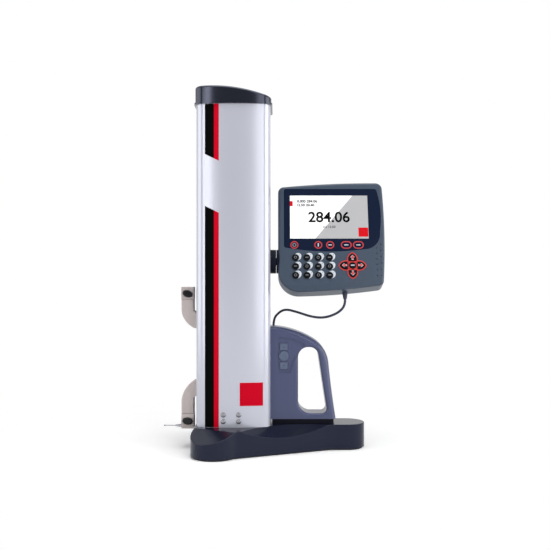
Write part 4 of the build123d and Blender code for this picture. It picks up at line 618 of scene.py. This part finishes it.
# Floor: lit near the object and white further out where it is seen, plain grey for bounced light
floor_mesh = bpy.data.meshes.new("floor")
floor_corners = [(x * FLOOR_REACH, y * FLOOR_REACH, 0) for x, y in ((-1, -1), (1, -1), (1, 1), (-1, 1))]
floor_mesh.from_pydata(floor_corners, [], [(0, 1, 2, 3)])
floor = bpy.data.objects.new("floor", floor_mesh)
bpy.context.scene.collection.objects.link(floor)
floor_look = bpy.data.materials.new("floor")
floor_look.use_nodes = True
floor_tree = floor_look.node_tree
floor_tree.nodes.clear()
floor_seen = floor_tree.nodes.new("ShaderNodeBsdfDiffuse")
floor_seen.inputs["Color"].default_value = (FLOOR_BOOST, FLOOR_BOOST, FLOOR_BOOST, 1.0)
floor_plain = floor_tree.nodes.new("ShaderNodeBsdfDiffuse")
floor_plain.inputs["Color"].default_value = linear(*FLOOR_PLAIN)
floor_white = floor_tree.nodes.new("ShaderNodeEmission")
floor_white.inputs["Strength"].default_value = 1.0
floor_place = floor_tree.nodes.new("ShaderNodeNewGeometry")
floor_distance = floor_tree.nodes.new("ShaderNodeVectorMath")
floor_distance.operation = "LENGTH"
floor_fade = floor_tree.nodes.new("ShaderNodeMapRange")
floor_fade.inputs["From Min"].default_value = FLOOR_FADE[0]
floor_fade.inputs["From Max"].default_value = FLOOR_FADE[1]
floor_show = floor_tree.nodes.new("ShaderNodeMixShader")
floor_tree.links.new(floor_place.outputs["Position"], floor_distance.inputs[0])
floor_tree.links.new(floor_distance.outputs["Value"], floor_fade.inputs["Value"])
floor_tree.links.new(floor_fade.outputs["Result"], floor_show.inputs["Fac"])
floor_tree.links.new(floor_seen.outputs["BSDF"], floor_show.inputs[1])
floor_tree.links.new(floor_white.outputs["Emission"], floor_show.inputs[2])
floor_mix = floor_tree.nodes.new("ShaderNodeMixShader")
floor_output = floor_tree.nodes.new("ShaderNodeOutputMaterial")
floor_tree.links.new(seen_directly(floor_tree), floor_mix.inputs["Fac"])
floor_tree.links.new(floor_plain.outputs["BSDF"], floor_mix.inputs[1])
floor_tree.links.new(floor_show.outputs["Shader"], floor_mix.inputs[2])
floor_tree.links.new(floor_mix.outputs["Shader"], floor_output.inputs["Surface"])
floor_mesh.materials.append(floor_look)

# Sky: weak as a light, white where it is seen, and dimmer at the front in reflections
world = bpy.data.worlds.new("studio")
bpy.context.scene.world = world
world.use_nodes = True
sky = world.node_tree
background = sky.nodes["Background"]
background.inputs["Color"].default_value = WHITE
background.inputs["Strength"].default_value = SKY_STRENGTH
seen = sky.nodes.new("ShaderNodeBackground")
seen.inputs["Color"].default_value = WHITE
sky_way = sky.nodes.new("ShaderNodeTexCoord")
sky_parts = sky.nodes.new("ShaderNodeSeparateXYZ")
sky_fade = sky.nodes.new("ShaderNodeMapRange")
sky_fade.inputs["From Min"].default_value = FRONT_SKY[0]
sky_fade.inputs["From Max"].default_value = FRONT_SKY[1]
sky_fade.inputs["To Min"].default_value = FRONT_SKY_STRENGTH
sky_camera = sky.nodes.new("ShaderNodeLightPath")
sky_strength = sky.nodes.new("ShaderNodeMath")
sky_strength.operation = "MAXIMUM"
sky.links.new(sky_way.outputs["Generated"], sky_parts.inputs["Vector"])
sky.links.new(sky_parts.outputs["Y"], sky_fade.inputs["Value"])
sky.links.new(sky_camera.outputs["Is Camera Ray"], sky_strength.inputs[0])
sky.links.new(sky_fade.outputs["Result"], sky_strength.inputs[1])
sky.links.new(sky_strength.outputs["Value"], seen.inputs["Strength"])
mix = sky.nodes.new("ShaderNodeMixShader")
sky.links.new(seen_directly(sky), mix.inputs["Fac"])
sky.links.new(background.outputs["Background"], mix.inputs[1])
sky.links.new(seen.outputs["Background"], mix.inputs[2])
sky.links.new(mix.outputs["Shader"], sky.nodes["World Output"].inputs["Surface"])


def lamp(name, place, aim, size, energy):
    """Soft rectangular lamp that faces a point."""
    data = bpy.data.lights.new(name, "AREA")
    data.shape = "RECTANGLE"
    data.size, data.size_y = size
    data.energy = energy
    holder = bpy.data.objects.new(name, data)
    bpy.context.scene.collection.objects.link(holder)
    holder.location = place
    holder.rotation_euler = (Vector(aim) - Vector(place)).to_track_quat("-Z", "Y").to_euler()


# Lamps: name, place, aim, size and power
lamp("lamp_left", (-0.64, -1.43, 0.55), LAMP_AIM, (0.14, 1.6), 3.4)
lamp("lamp_right", (0.64, -1.4, 0.55), LAMP_AIM, (0.36, 1.6), 4.8)
lamp("lamp_far_left", (-1.6, -0.45, 0.5), LAMP_AIM, (1.5, 1.4), 10.0)
lamp("lamp_far_right", (1.7, -0.6, 0.5), LAMP_AIM, (1.5, 1.4), 17.0)
lamp("lamp_above", (0.1, -0.2, 1.8), (0.05, 0.0, 0.2), (1.2, 1.2), 13.0)

# Camera
camera_data = bpy.data.cameras.new("camera")
camera_data.sensor_width = SENSOR_WIDTH
camera_data.lens = FOCAL_PIXELS / FRAME_PIXELS * SENSOR_WIDTH
camera_data.shift_y = (HORIZON_PIXEL - FRAME_PIXELS / 2) / FRAME_PIXELS
camera = bpy.data.objects.new("camera", camera_data)
bpy.context.scene.collection.objects.link(camera)
camera.location = CAMERA_PLACE
camera.rotation_euler = (math.radians(90), 0, 0)
bpy.context.scene.camera = camera
bpy.context.scene.view_settings.view_transform = "Standard"
